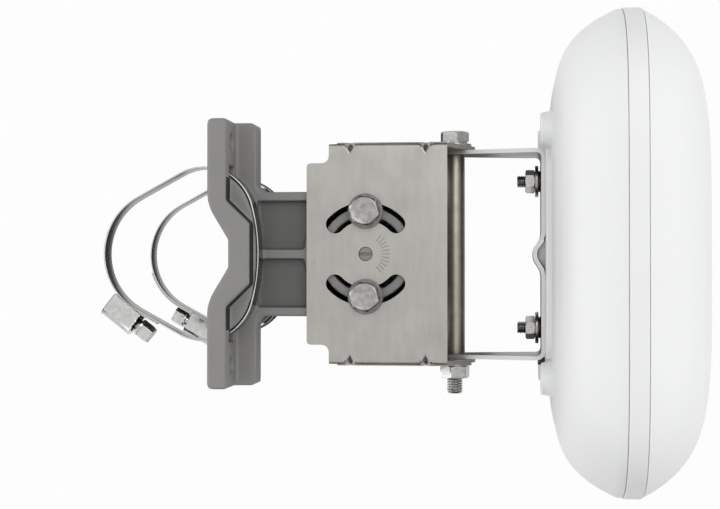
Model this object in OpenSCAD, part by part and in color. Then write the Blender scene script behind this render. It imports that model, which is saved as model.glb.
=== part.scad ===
// Outdoor wireless bridge on its pole bracket.
// Z runs up the pole, X along the radio's aim, and the origin is on the pole's axis.

/* [Pole clamp] */
// Diameter of the pole that the bracket is made for
pole_d = 60; // [52:1:66]
// Width of the steel clamp band
band_w = 12; // [9:0.5:14]
// Thickness of the steel clamp band
band_t = 0.8; // [0.6:0.1:1]
// Band's place on the wing, as a share of the way from the arm's top to the saddle's end
band_share = 0.4; // [0.3:0.05:0.6]
// Bend radius of the band where it passes through the saddle
band_bend_r = 24; // [20:1:25]
// Distance of the band slots from the bracket's middle line
band_slot_y = 41; // [38:0.5:44]
// Place of the upper worm housing round the pole, in degrees
upper_housing_at = 232; // [205:1:232]
// Diameter of the worm of a clamp screw
worm_d = 9; // [8:0.1:9.5]

/* [Saddle casting] */
// Width of the saddle, across the pole
saddle_w = 127; // [115:1:140]
// Height of the saddle, along the pole
saddle_h = 120; // [114:1:140]
// Thickness of the saddle's wings
saddle_t = 9; // [7:0.5:11]
// Opening of the vee at the saddle's face
vee_open = 46; // [40:1:50]
// Width of the flat at the bottom of the vee
vee_flat = 13; // [9:1:16]
// Depth of the vee
vee_depth = 10; // [8:0.5:12]
// Thickness of metal behind the vee
vee_back_t = 10.2; // [8:0.1:12]
// Width of the flat on the back of the vee
vee_back_flat = 28.2; // [24:0.2:32]
// Width of the back of the vee where it meets the wings
vee_back_open = 50; // [46:1:54]
// Thickness of the saddle at the root of the arm, from the face
root_t = 19.2; // [17:0.1:19.6]
// Height of the lip at the back of the root, above its taper
root_lip = 12; // [8:0.5:16]
// Thickness of the wings at their lower edge
wing_foot_t = 4.2; // [3.5:0.1:6]
// Height of the arm and of its root
arm_h = 70; // [60:1:72]
// Width of the arm
arm_w = 60; // [56:1:64]
// Thickness of the arm's ribs
rib_t = 4.4; // [3:0.1:6]
// Thickness of the web between the ribs
web_t = 8; // [5:0.5:14]
// Depth of the pockets between the ribs in the arm's top
pocket_d = 4.5; // [2:0.5:12]
// Diameter of the wall fixing holes
wall_hole_d = 9; // [6:0.5:10]
// Spacing of the wall fixing holes across the saddle
wall_hole_y = 106; // [102:1:108]
// Spacing of the wall fixing holes along the saddle
wall_hole_z = 90; // [86:1:98]

/* [Swivel bracket] */
// Distance of the swivel pivot from the saddle's face
swivel_reach = 72.3; // [68:0.1:84]
// Outside width of the folded swivel bracket
plate_w = 107; // [103:0.5:112]
// Thickness of the folded sheet
sheet_t = 2; // [1.5:0.1:2.5]
// Reach of the top plate from the pivot towards the pole
plate_back = 28.4; // [26:0.1:32]
// Reach of the folded sides from the pivot towards the pole
side_back = 17.7; // [14:0.1:19]
// Reach of the top plate from the pivot towards the radio
plate_front = 39; // [33:0.1:39]
// Width of the tongue between the corner notches
tongue_w = 87; // [80:1:96]
// Radius of the arc slots
slot_r = 20.4; // [18:0.1:22]
// Width of the arc slots
slot_w = 8.8; // [8.5:0.1:9.5]
// Half angle of the arc slots
slot_half_angle = 46; // [44:1:50]
// Diameter of the pivot pin
pivot_d = 6.4; // [5:0.1:8]
// Distance of the tilt bolt from the pivot
tilt_reach = 41; // [40:0.1:46]
// Radius of the ears round the tilt bolt
ear_r = 10.2; // [9:0.1:12]
// Diameter of the swivel and tilt bolts
bolt_d = 8; // [6:1:8]
// Outside diameter of the tilt sleeve
sleeve_d = 10; // [10:0.1:12]

/* [Tilt bracket] */
// Distance from the tilt bolt to the face that the radio is bolted to
radio_reach = 44.6; // [42:0.1:52]
// Height of the tilt bracket at the radio
tilt_plate_h = 40; // [32:1:44]
// Depth of the pressed rib in the middle of the tilt bracket
bump_d = 4; // [2:0.1:5]
// Height of the pressed rib in the middle of the tilt bracket, across the radio
bump_w = 17; // [12:1:24]
// Spacing of the studs that hold the radio
stud_spacing = 72.4; // [64:0.1:76]
// Diameter of the studs
stud_d = 6; // [4:0.5:6]

/* [Radio] */
// Width and height of the radio over its seam band
radio_size = 226; // [216:1:250]
// Exponent of the rounded square outline
corner_power = 4.4; // [3:0.1:5]
// Depth of the rear housing
rear_depth = 28.5; // [26:0.1:34]
// Width of the seam band
seam_w = 9; // [7:0.1:12]
// Depth of the front radome
front_depth = 34.2; // [32:0.1:44]
// Share of the radome's depth that is an even dome
dome_depth = 8.4; // [4:0.1:10]
// How far the shells lie inside the seam band's outline
seam_step = 0.6; // [0.3:0.1:1]
// Wall of the shells
shell_t = 3; // [2:0.1:3.5]
// Half width of the opening in the back of the rear housing
back_open = 70; // [68:0.5:72]

/* [Rear cover] */
// Half width of the raised rear cover
cover_half = 80; // [78:0.5:82]
// Height of the rear cover over the rear housing
cover_t = 3.1; // [2.5:0.1:4]
// Slope of the rear cover's edge, as its width
cover_slope = 7; // [3:0.5:8]
// Length of the mounting pad across the radio
pad_w = 100.6; // [96:0.2:104]
// Height of the mounting pad
pad_h = 80; // [60:1:84]
// Diameter of the screw bosses
boss_d = 15.8; // [13:0.1:16.2]
// Distance of the screw bosses from the middle, across the radio
boss_y = 58.3; // [57.5:0.1:60]
// Distance of the screw bosses from the middle, up and down
boss_z = 45; // [40:0.5:50]
// Diameter of the cover screws
cover_screw_d = 4; // [3:0.5:5]

/* [Radio electronics] */
// Half width of the chassis plate
chassis_half = 74; // [70:0.5:76]
// Thickness of the chassis plate
chassis_t = 3; // [2:0.1:4]
// Half width of the main board
board_half = 70; // [68:0.5:74]
// Thickness of the main board
board_t = 1.6; // [1:0.1:2]
// Height of the shield cans on the main board
can_h = 4; // [2:0.1:6]
// Thickness of the thermal pads
thermal_t = 1.5; // [1:0.1:2]
// Half width of the antenna panel
panel_half = 72; // [68:0.5:76]
// Thickness of the antenna panel
panel_t = 1.6; // [1:0.1:2]
// Height of the antenna panel over the main board
panel_gap = 34; // [24:0.5:36]
// Width of one antenna patch
patch_w = 26; // [20:0.5:30]
// Spacing of the antenna patches
patch_pitch = 44; // [40:0.5:46]

/* [Cable entry] */
// Thread diameter of the cable gland
gland_d = 16; // [14:1:16]
// Diameter of the cable that the gland seals on
cable_d = 6.5; // [5:0.1:8]
// Distance of the gland from the rear housing's back face
gland_in = 14.5; // [13.5:0.5:15.5]

/* [Fits] */
// Gap between faces that slide on each other
slip = 0.15; // [0.1:0.05:0.3]
// Gap round a shaft that turns in its hole
running = 0.2; // [0.1:0.05:0.3]
// Gap round a bolt in its own hole
bolt_gap = 0.05; // [0.03:0.01:0.1]
// Clearance between a clamp band and the pole
pole_gap = 0.05; // [0:0.05:0.1]

/* [Hidden] */
$fn = 48;
MIRRORED = [-1, 1];

// Steel and casting colours
CAST = "#878784";
STEEL = "#b4b2aa";
DARK_STEEL = "#8b8982";
WHITE = "#f0f1f2";
BOARD = "#1f5a37";
BLACK = "#232323";
COPPER = "#b87a45";

// Saddle: the vee's flanks touch the pole, which sets the face's place
pole_r = pole_d / 2;
vee_run = (vee_open - vee_flat) / 2;
vee_len = norm([vee_depth, vee_run]);
vee_normal = [vee_run / vee_len, vee_depth / vee_len];
face_x = (pole_r + pole_gap - vee_normal[1] * vee_open / 2) / vee_normal[0];
wing_x = face_x + saddle_t;
vee_back_x = face_x + vee_depth + vee_back_t;
root_x = face_x + root_t;
pivot_x = face_x + swivel_reach;
tilt_x = pivot_x + tilt_reach;
arm_top = arm_h / 2;
root_chamfer = 2.2;
lip_low = arm_top - root_lip;
foot_x = face_x + wing_foot_t;
taper_fall = (root_x - foot_x) / (lip_low + saddle_h / 2);

// Band path: pole arc, straight, bend at the slot, and the arc over the vee's back
full_turn = 360;
band_z = arm_top + band_share * (saddle_h / 2 - arm_top);
band_r = pole_r + pole_gap + band_t / 2;
band_back_c = -46;
band_back_gap = 0.9;
band_back_r = norm([vee_back_x - band_back_c, vee_back_flat / 2]) + band_back_gap + band_t / 2;
band_bend_y = band_slot_y - band_bend_r;
band_back_a = asin(band_bend_y / (band_back_r - band_bend_r));
band_bend_x = band_back_c + (band_back_r - band_bend_r) * cos(band_back_a);
band_span = norm([band_bend_x, band_bend_y]);
band_leave_a = atan2(band_bend_y, band_bend_x) + acos((band_r - band_bend_r) / band_span);
band_straight = sqrt(pow(band_span, 2) - pow(band_r - band_bend_r, 2));
band_slot_gap = 0.5;
band_lap = 0.4;
band_lap_angle = 2;
band_joint = 0.05;
band_joint_t = band_t + 2 * band_joint;
tail_r = band_r + band_t * 3 / 4;
tail_t = band_t * 3 / 2;
upper_tail_l = 12;
lower_tail_angle = 44;
slot_drop = sqrt(pow(band_bend_r - band_t / 2, 2) - pow(wing_x - band_bend_x, 2));
slot_low_y = band_bend_y + slot_drop - band_slot_gap;
slot_high_y = band_slot_y + band_t / 2 + band_slot_gap;

// Worm housing, measured outwards from the band
worm_lift = 0.2;
worm_axis = band_t * 1.5 + worm_lift + worm_d / 2;
worm_house_l = 16;
worm_house_w = band_w + 2.4;
worm_house_top = worm_axis + worm_d / 2 + 1.7;
worm_house_gap = 0.1;
worm_house_side_gap = 0.3;
worm_house_cut = 3;
worm_slot = [3, 1.2];
worm_head_af = worm_d * 0.85;
worm_neck_d = worm_d * 0.7;
worm_neck_l = 3;
worm_flange_d = worm_d - 0.1;
worm_flange_t = 1.4;
worm_head_l = 6;
upper_tail_lap = 14;
upper_tail_from = upper_housing_at - upper_tail_lap;
lower_housing_from = 16;
guide_gap = 0.3;
guide_step = 0.3;
guide_half = 22;
guide_root = 8;
guide_top = band_z + band_w / 2 + 0.5;

// Swivel bracket levels
plate_z = arm_top + slip;
plate_top = plate_z + sheet_t;
side_y = plate_w / 2;
side_low = -ear_r;
side_start = 9;
side_short = 16;
flat_washer_t = 1.6;
spring_washer_t = 1.9;
head_h = bolt_d * 0.66;
head_af = bolt_d * 1.625;
nut_h = bolt_d * 0.8;
flat_washer_d = bolt_d * 2.1;
spring_washer_d = bolt_d * 1.6;
swivel_boss_d = bolt_d * 2;
pivot_wall = 4;
pivot_boss_d = pivot_d + 2 * pivot_wall;
slot_rim_w = rib_t;
swivel_thread = 16;
dart_x = [-7.5, 28.7];
dart_w = 4;
dart_l = 5;

// Tilt bracket
tilt_outer = side_y - sheet_t - slip;
tilt_inner = tilt_outer - sheet_t;
tilt_ear_r = ear_r - 0.6;
radio_x = tilt_x + radio_reach;
tilt_back_x = radio_x - sheet_t;
tilt_tip_y = 7.5;
stud_y = stud_spacing / 2;
stud_out = 11.6;
stud_in = 6;
stud_flat_t = 1.6;
stud_flat_d = stud_d * 2.6;
stud_spring_t = 1.2;
stud_spring_d = stud_d * 1.75;
stud_nut_h = stud_d * 0.8;
stud_nut_af = stud_d * 10 / 6;

// Radio, from its mounting face forwards
pad_t = 1.5;
cover_x = radio_x + pad_t;
rear_x = cover_x + cover_t;
seam_x = rear_x + rear_depth;
front_x = seam_x + seam_w;
apex_x = front_x + front_depth;
radio_half = radio_size / 2;
shell_half = radio_half - seam_step;
boss_proud = 2.8;
boss_x = radio_x - boss_proud;
ring_n = 64;
rear_power = 10;
dome_power = 8;
SHELL_SHARES = [0.35, 0.55, 0.7, 0.8, 0.87, 0.93, 0.97, 1];
back_seat = back_open + 8;
seal_w = 4;
seal_in = 1;
seam_in = shell_half - shell_t - seal_w;
chassis_lift = 1.5;
chassis_x = rear_x + shell_t + chassis_lift;
chassis_front = chassis_x + chassis_t;
board_x = chassis_front + thermal_t + can_h;
board_front = board_x + board_t;
panel_x = board_front + panel_gap;
panel_front = panel_x + panel_t;
post_d = 7;
post_at = 62;
pad_corner = 8;
seal_corner = [40, 30];
chassis_corner = 24;
board_corner = 16;
panel_corner = 14;
cover_plug_half = back_open - 2;
cover_plug_corner = 36;
cover_skirt_gap = 0.4;
cover_skirt_t = 2;
inner_boss_d = 14;
screw_boss_d = 12;
seal_t = 0.8;
patch_t = 0.4;
module_w = 24;
module_t = 3;
cover_screw_proud = 0.7;
cover_screw_head = cover_screw_d * 2;
cover_screw_sink = 2;
board_screw_d = 3;
board_screw_out = 4;
post_hole_l = 6;
CANS = [[-30, 26, 40, 44], [28, 30, 46, 36], [0, -26, 60, 30]];
can_margin = 3;
cable_notch = [40, 14];

// Ports on the rear cover
port_z = -57;
port_y = 44;
port_depth = 5;
vent_d = 6;
vent_head = [9, 1.4];
console_d = 10.8;
console_head = [14, 1.8];
ground_d = 5;
ground_head = [9, 3];
ground_washer_size = [11, 1];
ground_slot = [1.2, 1.2];

// Cable gland under the rear housing
gland_x = rear_x + gland_in;
gland_seat_z = -radio_half + 1.2;
gland_flange_d = gland_d + 6;
gland_flange_t = 6;
gland_thread_l = 16;
gland_nut_af = gland_d + 4;
gland_nut_l = 14;
gland_gasket_t = 1.5;
gland_boss_d = gland_flange_d + 2;
gland_boss_l = 14;
gland_body_d = gland_d - 1;
gland_body_l = 9;
gland_bore_d = cable_d + 5;
gland_nut_gap = 1;
gland_nut_floor = 5;
gland_seal_l = 12;
gland_seal_d = cable_d + 0.2;
jack_size = [14, 16, 21];
jack_wall = 2;

// General shapes

// A cylinder along X
module rod_x(d, from, to) {
  translate([from, 0, 0]) rotate([0, 90, 0]) cylinder(d = d, h = to - from);
}

// A cylinder along Y
module rod_y(d, from, to) {
  translate([0, to, 0]) rotate([90, 0, 0]) cylinder(d = d, h = to - from);
}

// A hexagon along Z, by its width across the flats
module hex(af, h) {
  cylinder(d = af / cos(30), h = h, $fn = 6);
}

// A washer along Z
module washer(d, hole, h) {
  difference() {
    cylinder(d = d, h = h);
    translate([0, 0, -1]) cylinder(d = hole, h = h + 2);
  }
}

// A split spring washer along Z
module split_washer(d, hole, h) {
  slit = 0.8;
  difference() {
    washer(d, hole, h);
    translate([0, -slit / 2, -1]) cube([d, slit, h + 2]);
  }
}

// A box between two corners
module block(low, high) {
  translate(low) cube(high - low);
}

// A plate along X with round corners, by its half widths
module rounded_plate_x(half_y, half_z, r, from, to) {
  block([from, -half_y + r, -half_z], [to, half_y - r, half_z]);
  block([from, -half_y, -half_z + r], [to, half_y, half_z - r]);
  for (sy = MIRRORED, sz = MIRRORED)
    translate([0, sy * (half_y - r), sz * (half_z - r)]) rod_x(2 * r, from, to);
}

// The four places of a square pattern in the plane across X
module at_corners(y, z) {
  for (sy = MIRRORED, sz = MIRRORED) translate([0, sy * y, sz * z]) children();
}

// Rounded square outline: unit distance at an angle
function outline(a) =
  pow(pow(abs(cos(a)), corner_power) + pow(abs(sin(a)), corner_power), -1 / corner_power);

// One ring of the outline at x, with the given half width
function ring(x, half) = [
  for (i = [0:ring_n - 1]) let (a = 360 * i / ring_n, r = half * outline(a)) [x, r * cos(a), r * sin(a)]
];

// Triangles between row j of the rings and row k
function row_faces(j, k) = flat_list([
  for (i = [0:ring_n - 1])
    let (n = (i + 1) % ring_n, a = j * ring_n + i, b = j * ring_n + n, c = k * ring_n + i, d = k * ring_n + n)
      [[a, b, d], [a, d, c]]
]);

function flat_list(lists) = [for (l = lists) for (p = l) p];
function ring_points(rows) = flat_list([for (r = rows) ring(r[0], r[1])]);

// Closed tube wall over a stack of rings [x, half]
module ring_stack(rows) {
  count = len(rows);
  polyhedron(
    points = ring_points(rows),
    faces = flat_list([for (j = [0:count - 1]) row_faces(j, (j + 1) % count)]),
    convexity = 8
  );
}

// Closed bowl over a stack of rings, from one point on the axis to another
module bowl_stack(first_x, rows, last_x) {
  count = len(rows);
  first = count * ring_n;
  last_row = (count - 1) * ring_n;
  polyhedron(
    points = concat(ring_points(rows), [[first_x, 0, 0], [last_x, 0, 0]]),
    faces = concat(
      [for (i = [0:ring_n - 1]) [first, (i + 1) % ring_n, i]],
      flat_list([for (j = [0:count - 2]) row_faces(j, j + 1)]),
      [for (i = [0:ring_n - 1]) [last_row + i, last_row + (i + 1) % ring_n, first + 1]]
    ),
    convexity = 8
  );
}

// Pole bracket

module saddle_profile() {
  polygon([
    [face_x, -saddle_w / 2], [wing_x, -saddle_w / 2], [wing_x, -vee_back_open / 2],
    [vee_back_x, -vee_back_flat / 2], [vee_back_x, vee_back_flat / 2], [wing_x, vee_back_open / 2],
    [wing_x, saddle_w / 2], [face_x, saddle_w / 2], [face_x, vee_open / 2],
    [face_x + vee_depth, vee_flat / 2], [face_x + vee_depth, -vee_flat / 2], [face_x, -vee_open / 2]
  ]);
}

module root_profile() {
  polygon([
    [wing_x - 1, -saddle_w / 2], [root_x - root_chamfer, -saddle_w / 2],
    [root_x, -saddle_w / 2 + root_chamfer], [root_x, saddle_w / 2 - root_chamfer],
    [root_x - root_chamfer, saddle_w / 2], [wing_x - 1, saddle_w / 2]
  ]);
}

module vee_clearance() {
  polygon([
    [face_x - 1, -vee_open / 2], [face_x, -vee_open / 2], [face_x + vee_depth, -vee_flat / 2],
    [face_x + vee_depth, vee_flat / 2], [face_x, vee_open / 2], [face_x - 1, vee_open / 2]
  ]);
}

// The ribbed arm ends in a round head that carries the pivot and the two swivel bolts
module arm_head() {
  head_r = arm_w / 2;
  translate([pivot_x, 0, -arm_top]) {
    difference() {
      cylinder(r = head_r, h = arm_h);
      translate([0, 0, -1]) cylinder(r = head_r - rib_t, h = arm_h + 2);
    }
    difference() {
      cylinder(r = slot_r + slot_rim_w / 2, h = arm_h);
      translate([0, 0, -1]) cylinder(r = slot_r - slot_rim_w / 2, h = arm_h + 2);
    }
    cylinder(d = pivot_boss_d, h = arm_h);
    for (s = MIRRORED) translate([0, s * slot_r, 0]) cylinder(d = swivel_boss_d, h = arm_h);
    translate([0, 0, arm_top - web_t / 2]) cylinder(r = head_r, h = web_t);
  }
}

module arm() {
  deck = arm_top - pocket_d;
  block([root_x - 1, -arm_w / 2, deck - web_t], [pivot_x, arm_w / 2, deck]);
  for (y = [-(arm_w - rib_t) / 2, 0, (arm_w - rib_t) / 2])
    block([(y == 0 ? root_x : wing_x) - 1, y - rib_t / 2, -arm_top],
      [pivot_x - (y == 0 ? 0 : 6), y + rib_t / 2, arm_top]);
}

// The head stays open inside its ring where the ribs would cross it
module head_clearance() {
  head_r = arm_w / 2;
  translate([pivot_x, 0, web_t / 2]) cylinder(r = head_r - rib_t, h = arm_top);
  translate([pivot_x, 0, -web_t / 2 - arm_top]) cylinder(r = head_r - rib_t, h = arm_top);
}

// Outside the arm, the back falls away below the root's lip to the thin lower edge of the wings
module back_taper() {
  over = 3;
  reach = 30;
  low = -saddle_h / 2 - over;
  translate([0, saddle_w, 0]) rotate([90, 0, 0]) linear_extrude(saddle_w - arm_w / 2 + 1)
    polygon([
      [root_x + over, lip_low + over / taper_fall], [foot_x - over * taper_fall, low],
      [root_x + reach, low], [root_x + reach, lip_low + over / taper_fall]
    ]);
}

// Raised guide behind the vee, which the band lies against
module band_guide() {
  low = arm_top - 1;
  high = guide_top - low;
  bend_guide_r = band_bend_r - band_t / 2 - guide_gap - guide_step;
  intersection() {
    translate([band_back_c, 0, low]) cylinder(r = band_back_r - band_t / 2 - guide_gap, h = high);
    block([vee_back_x - guide_root, -guide_half, low - 1], [root_x + saddle_t, guide_half, guide_top + 1]);
  }
  for (side = [0, 1]) mirror([0, side, 0]) intersection() {
    translate([band_bend_x, band_bend_y, low]) cylinder(r = bend_guide_r, h = high);
    block([wing_x - 1, vee_back_flat / 2 - 2, low - 1], [root_x + saddle_t, saddle_w / 2, guide_top + 1]);
  }
}

module pole_saddle() {
  color(CAST) difference() {
    union() {
      difference() {
        union() {
          translate([0, 0, -saddle_h / 2]) linear_extrude(saddle_h) saddle_profile();
          difference() {
            translate([0, 0, -arm_top]) linear_extrude(arm_h) root_profile();
            translate([0, 0, -arm_top - 1]) linear_extrude(arm_h + 2) vee_clearance();
          }
        }
        back_taper();
        mirror([0, 1, 0]) back_taper();
      }
      band_guide();
      mirror([0, 0, 1]) band_guide();
      difference() {
        arm();
        head_clearance();
      }
      arm_head();
    }
    for (side = [0, 1], sz = MIRRORED) mirror([0, side, 0]) {
      slot_h = band_w / 2 + band_slot_gap;
      translate([0, 0, sz * band_z])
        block([face_x - 1, slot_low_y, -slot_h], [wing_x + 1, slot_high_y, slot_h]);
      translate([0, wall_hole_y / 2, sz * wall_hole_z / 2]) rod_x(wall_hole_d, face_x - 1, wing_x + 1);
    }
    for (s = MIRRORED) translate([pivot_x, s * slot_r, arm_top - swivel_thread])
      cylinder(d = bolt_d + 2 * bolt_gap, h = swivel_thread + 1);
    translate([pivot_x, 0, arm_top - swivel_thread])
      cylinder(d = pivot_d + 2 * bolt_gap, h = swivel_thread + 1);
  }
}

// Clamp bands

module band_arc(r, from, to, t = band_t, w = band_w) {
  rotate([0, 0, from]) rotate_extrude(angle = to - from) translate([r - t / 2, -w / 2]) square([t, w]);
}

// One straight of the band and its bend at the saddle. The arcs end inside the straight and the back,
// which are a little thicker
module band_side() {
  rotate([0, 0, band_leave_a - 90])
    translate([-band_lap, band_r - band_joint_t / 2, -band_w / 2])
      cube([band_straight + band_lap, band_joint_t, band_w]);
  translate([band_bend_x, band_bend_y, 0])
    band_arc(band_bend_r, band_back_a - band_lap_angle, band_leave_a + band_lap_angle);
}

module band_loop() {
  band_arc(band_r, band_leave_a, full_turn - band_leave_a);
  band_side();
  mirror([0, 1, 0]) band_side();
  translate([band_back_c, 0, 0]) band_arc(band_back_r, -band_back_a, band_back_a, band_joint_t);
}

// The free end of the band lies on the loop, past the housing
module band_tail(from, along) {
  band_arc(tail_r, from, full_turn - band_leave_a, tail_t, band_w - 2 * band_joint);
  on_lower_straight(0) translate([0, -2 * band_lap, -band_w / 2 - band_joint])
    cube([tail_r - band_r + tail_t / 2 + band_joint, along, band_w + 2 * band_joint]);
}

// Outwards is X and along the band is Y, on the pole arc at an angle
module on_pole_arc(a) {
  rotate([0, 0, a]) translate([band_r, 0, 0]) children();
}

// The same on the lower straight stretch, at a distance from the pole arc
module on_lower_straight(along) {
  rotate([0, 0, -band_leave_a]) translate([band_r, along, 0]) children();
}

module worm_housing() {
  half_l = worm_house_l / 2;
  half_w = worm_house_w / 2;
  inside = band_w / 2 + worm_house_side_gap;
  difference() {
    block([0, -half_l, -half_w], [worm_house_top, half_l, half_w]);
    translate([worm_axis, 0, 0]) rod_y(worm_d + 2 * running, -worm_house_l, worm_house_l);
    block([-1, -worm_house_l, -inside], [band_t * 3 / 2 + worm_house_gap, worm_house_l, inside]);
    for (sz = MIRRORED) translate([worm_house_top, 0, sz * half_w])
      rotate([0, 45, 0]) cube([worm_house_cut, 2 * worm_house_l, worm_house_cut], center = true);
  }
}

// The worm lies in the housing, and its flanged head stands outside one end
module worm_screw() {
  neck = worm_house_l / 2 + 0.4;
  flange = neck + worm_neck_l;
  head = flange + worm_head_l;
  translate([worm_axis, 0, 0]) difference() {
    union() {
      rod_y(worm_d, -worm_house_l / 2, worm_house_l / 2 - 1);
      rod_y(worm_neck_d, worm_house_l / 2 - 1.5, flange);
      rod_y(worm_flange_d, flange - worm_flange_t, flange);
      translate([0, head, 0]) rotate([90, 0, 0]) hex(worm_head_af, worm_head_l + 0.1);
    }
    translate([0, head, 0]) cube([worm_head_af * 2, worm_slot[0], worm_slot[1]], center = true);
  }
}

module clamp_band_upper() {
  color(STEEL) translate([0, 0, band_z]) {
    band_loop();
    band_tail(upper_tail_from, upper_tail_l);
  }
}

module clamp_band_lower() {
  color(STEEL) translate([0, 0, -band_z]) {
    band_loop();
    band_tail(full_turn - band_leave_a - lower_tail_angle, lower_housing_from + worm_house_l / 2 - 2);
  }
}

module clamp_housing_upper() {
  inside = band_w + 2 * worm_house_side_gap;
  color(STEEL) translate([0, 0, band_z]) difference() {
    on_pole_arc(upper_housing_at) worm_housing();
    cylinder(r = band_r + band_t * 3 / 2 + worm_house_gap, h = inside, center = true);
    cylinder(r = band_r - band_t / 2, h = 2 * worm_house_w, center = true);
  }
}

module clamp_housing_lower() {
  color(STEEL) translate([0, 0, -band_z]) on_lower_straight(lower_housing_from) worm_housing();
}

module clamp_screw_upper() {
  color(DARK_STEEL) translate([0, 0, band_z]) on_pole_arc(upper_housing_at) worm_screw();
}

module clamp_screw_lower() {
  color(DARK_STEEL) translate([0, 0, -band_z])
    on_lower_straight(lower_housing_from) mirror([0, 1, 0]) worm_screw();
}

// Swivel

module at_swivel_bolts() {
  for (s = MIRRORED) translate([pivot_x, s * slot_r, plate_top]) children();
}

module swivel_bolts() {
  shank_low = arm_top - plate_top - swivel_thread + 1;
  under_head = flat_washer_t + spring_washer_t;
  color(STEEL) at_swivel_bolts() {
    translate([0, 0, under_head]) rotate([0, 0, 15]) hex(head_af, head_h);
    translate([0, 0, shank_low]) cylinder(d = bolt_d, h = under_head - shank_low + 0.5);
  }
}

module swivel_spring_washers() {
  color(STEEL) at_swivel_bolts() translate([0, 0, flat_washer_t])
    split_washer(spring_washer_d, bolt_d + 2 * bolt_gap, spring_washer_t);
}

module swivel_flat_washers() {
  color(STEEL) at_swivel_bolts() translate([0, 0, slip])
    washer(flat_washer_d, bolt_d + 2 * bolt_gap, flat_washer_t - slip);
}

module pivot_pin() {
  mark_w = 0.9;
  color(CAST) difference() {
    translate([pivot_x, 0, arm_top - swivel_thread + 1])
      cylinder(d = pivot_d, h = plate_top - arm_top + swivel_thread - 1.4);
    translate([pivot_x - pivot_d, -mark_w / 2, plate_top - 1]) cube([2 * pivot_d, mark_w, 2]);
  }
}

module arc_slot(side) {
  a = side > 0 ? 90 : 270;
  rotate([0, 0, a - slot_half_angle]) rotate_extrude(angle = 2 * slot_half_angle)
    translate([slot_r - slot_w / 2, plate_z - 1]) square([slot_w, sheet_t + 2]);
  for (s = MIRRORED) rotate([0, 0, a + s * slot_half_angle]) translate([slot_r, 0, plate_z - 1])
    cylinder(d = slot_w, h = sheet_t + 2);
}

// Folded side: it starts past the arm's swing, runs forwards and ends in a round ear at the tilt bolt
module bracket_side() {
  difference() {
    union() {
      block([-side_back, side_y - sheet_t, plate_z], [plate_front, side_y, plate_top]);
      translate([0, side_y, 0]) rotate([90, 0, 0]) linear_extrude(sheet_t)
        polygon([
          [-side_start, plate_z + 0.5], [plate_front, plate_z + 0.5], [plate_front, plate_z - 4],
          [tilt_reach + ear_r * cos(30), ear_r * sin(30)], [tilt_reach, side_low],
          [side_start, side_low], [-side_start, plate_z - side_short]
        ]);
      translate([tilt_reach, 0, 0]) rod_y(2 * ear_r, side_y - sheet_t, side_y);
      for (x = dart_x) translate([x - dart_w / 2, 0, 0]) rotate([90, 0, 90]) linear_extrude(dart_w)
        polygon([
          [side_y - sheet_t + 0.2, plate_z + 0.2], [side_y - sheet_t - dart_l, plate_z + 0.2],
          [side_y - sheet_t + 0.2, plate_z - dart_l]
        ]);
    }
    translate([tilt_reach, 0, 0]) rod_y(bolt_d + 2 * running, side_y - sheet_t - 1, side_y + 1);
  }
}

module swivel_bracket() {
  color(STEEL) translate([pivot_x, 0, 0]) {
    difference() {
      union() {
        block([-plate_back, -tongue_w / 2, plate_z], [plate_front, tongue_w / 2, plate_top]);
        block([-side_back, -side_y, plate_z], [plate_front, side_y, plate_top]);
      }
      for (s = MIRRORED) arc_slot(s);
      translate([0, 0, plate_z - 1]) cylinder(d = pivot_d + 2 * running, h = sheet_t + 2);
    }
    bracket_side();
    mirror([0, 1, 0]) bracket_side();
  }
}

// Tilt

module on_tilt_axis() {
  translate([tilt_x, 0, 0]) children();
}

module tilt_bolt() {
  head_y = side_y + flat_washer_t + spring_washer_t * 0.5;
  color(STEEL) on_tilt_axis() {
    translate([0, head_y + head_h, 0]) rotate([90, 0, 0]) rotate([0, 0, 12]) hex(head_af, head_h);
    rod_y(bolt_d, -side_y - flat_washer_t - nut_h - tilt_tip_y, head_y + 0.5);
  }
}

module tilt_flat_washers() {
  color(STEEL) on_tilt_axis() for (s = MIRRORED)
    rotate([s * -90, 0, 0]) translate([0, 0, side_y])
      washer(flat_washer_d, bolt_d + 2 * bolt_gap, flat_washer_t);
}

module tilt_spring_washer() {
  color(STEEL) on_tilt_axis() rotate([-90, 0, 0]) translate([0, 0, side_y + flat_washer_t])
    split_washer(spring_washer_d, bolt_d + 2 * bolt_gap, spring_washer_t * 0.5);
}

module tilt_nut() {
  color(STEEL) on_tilt_axis() rotate([90, 0, 0]) translate([0, 0, side_y + flat_washer_t]) difference() {
    rotate([0, 0, 12]) hex(head_af, nut_h);
    translate([0, 0, -1]) cylinder(d = bolt_d + 2 * bolt_gap, h = nut_h + 2);
  }
}

module tilt_sleeve() {
  color("#8f867c") on_tilt_axis() difference() {
    rod_y(sleeve_d, -tilt_inner, tilt_inner);
    rod_y(bolt_d + 2 * running, -tilt_inner - 1, tilt_inner + 1);
  }
}

// Arm of the tilt bracket: round at the bolt, and widening to the radio
module tilt_arm() {
  half = tilt_plate_h / 2;
  difference() {
    union() {
      rod_y(2 * tilt_ear_r, tilt_inner, tilt_outer);
      translate([0, tilt_outer, 0]) rotate([90, 0, 0]) linear_extrude(sheet_t)
        polygon([
          [0, -tilt_ear_r], [radio_reach - sheet_t - 6, -half], [radio_reach, -half],
          [radio_reach, half], [radio_reach - sheet_t - 6, half], [0, tilt_ear_r]
        ]);
    }
    rod_y(bolt_d + 2 * running, tilt_inner - 1, tilt_outer + 1);
  }
}

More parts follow.
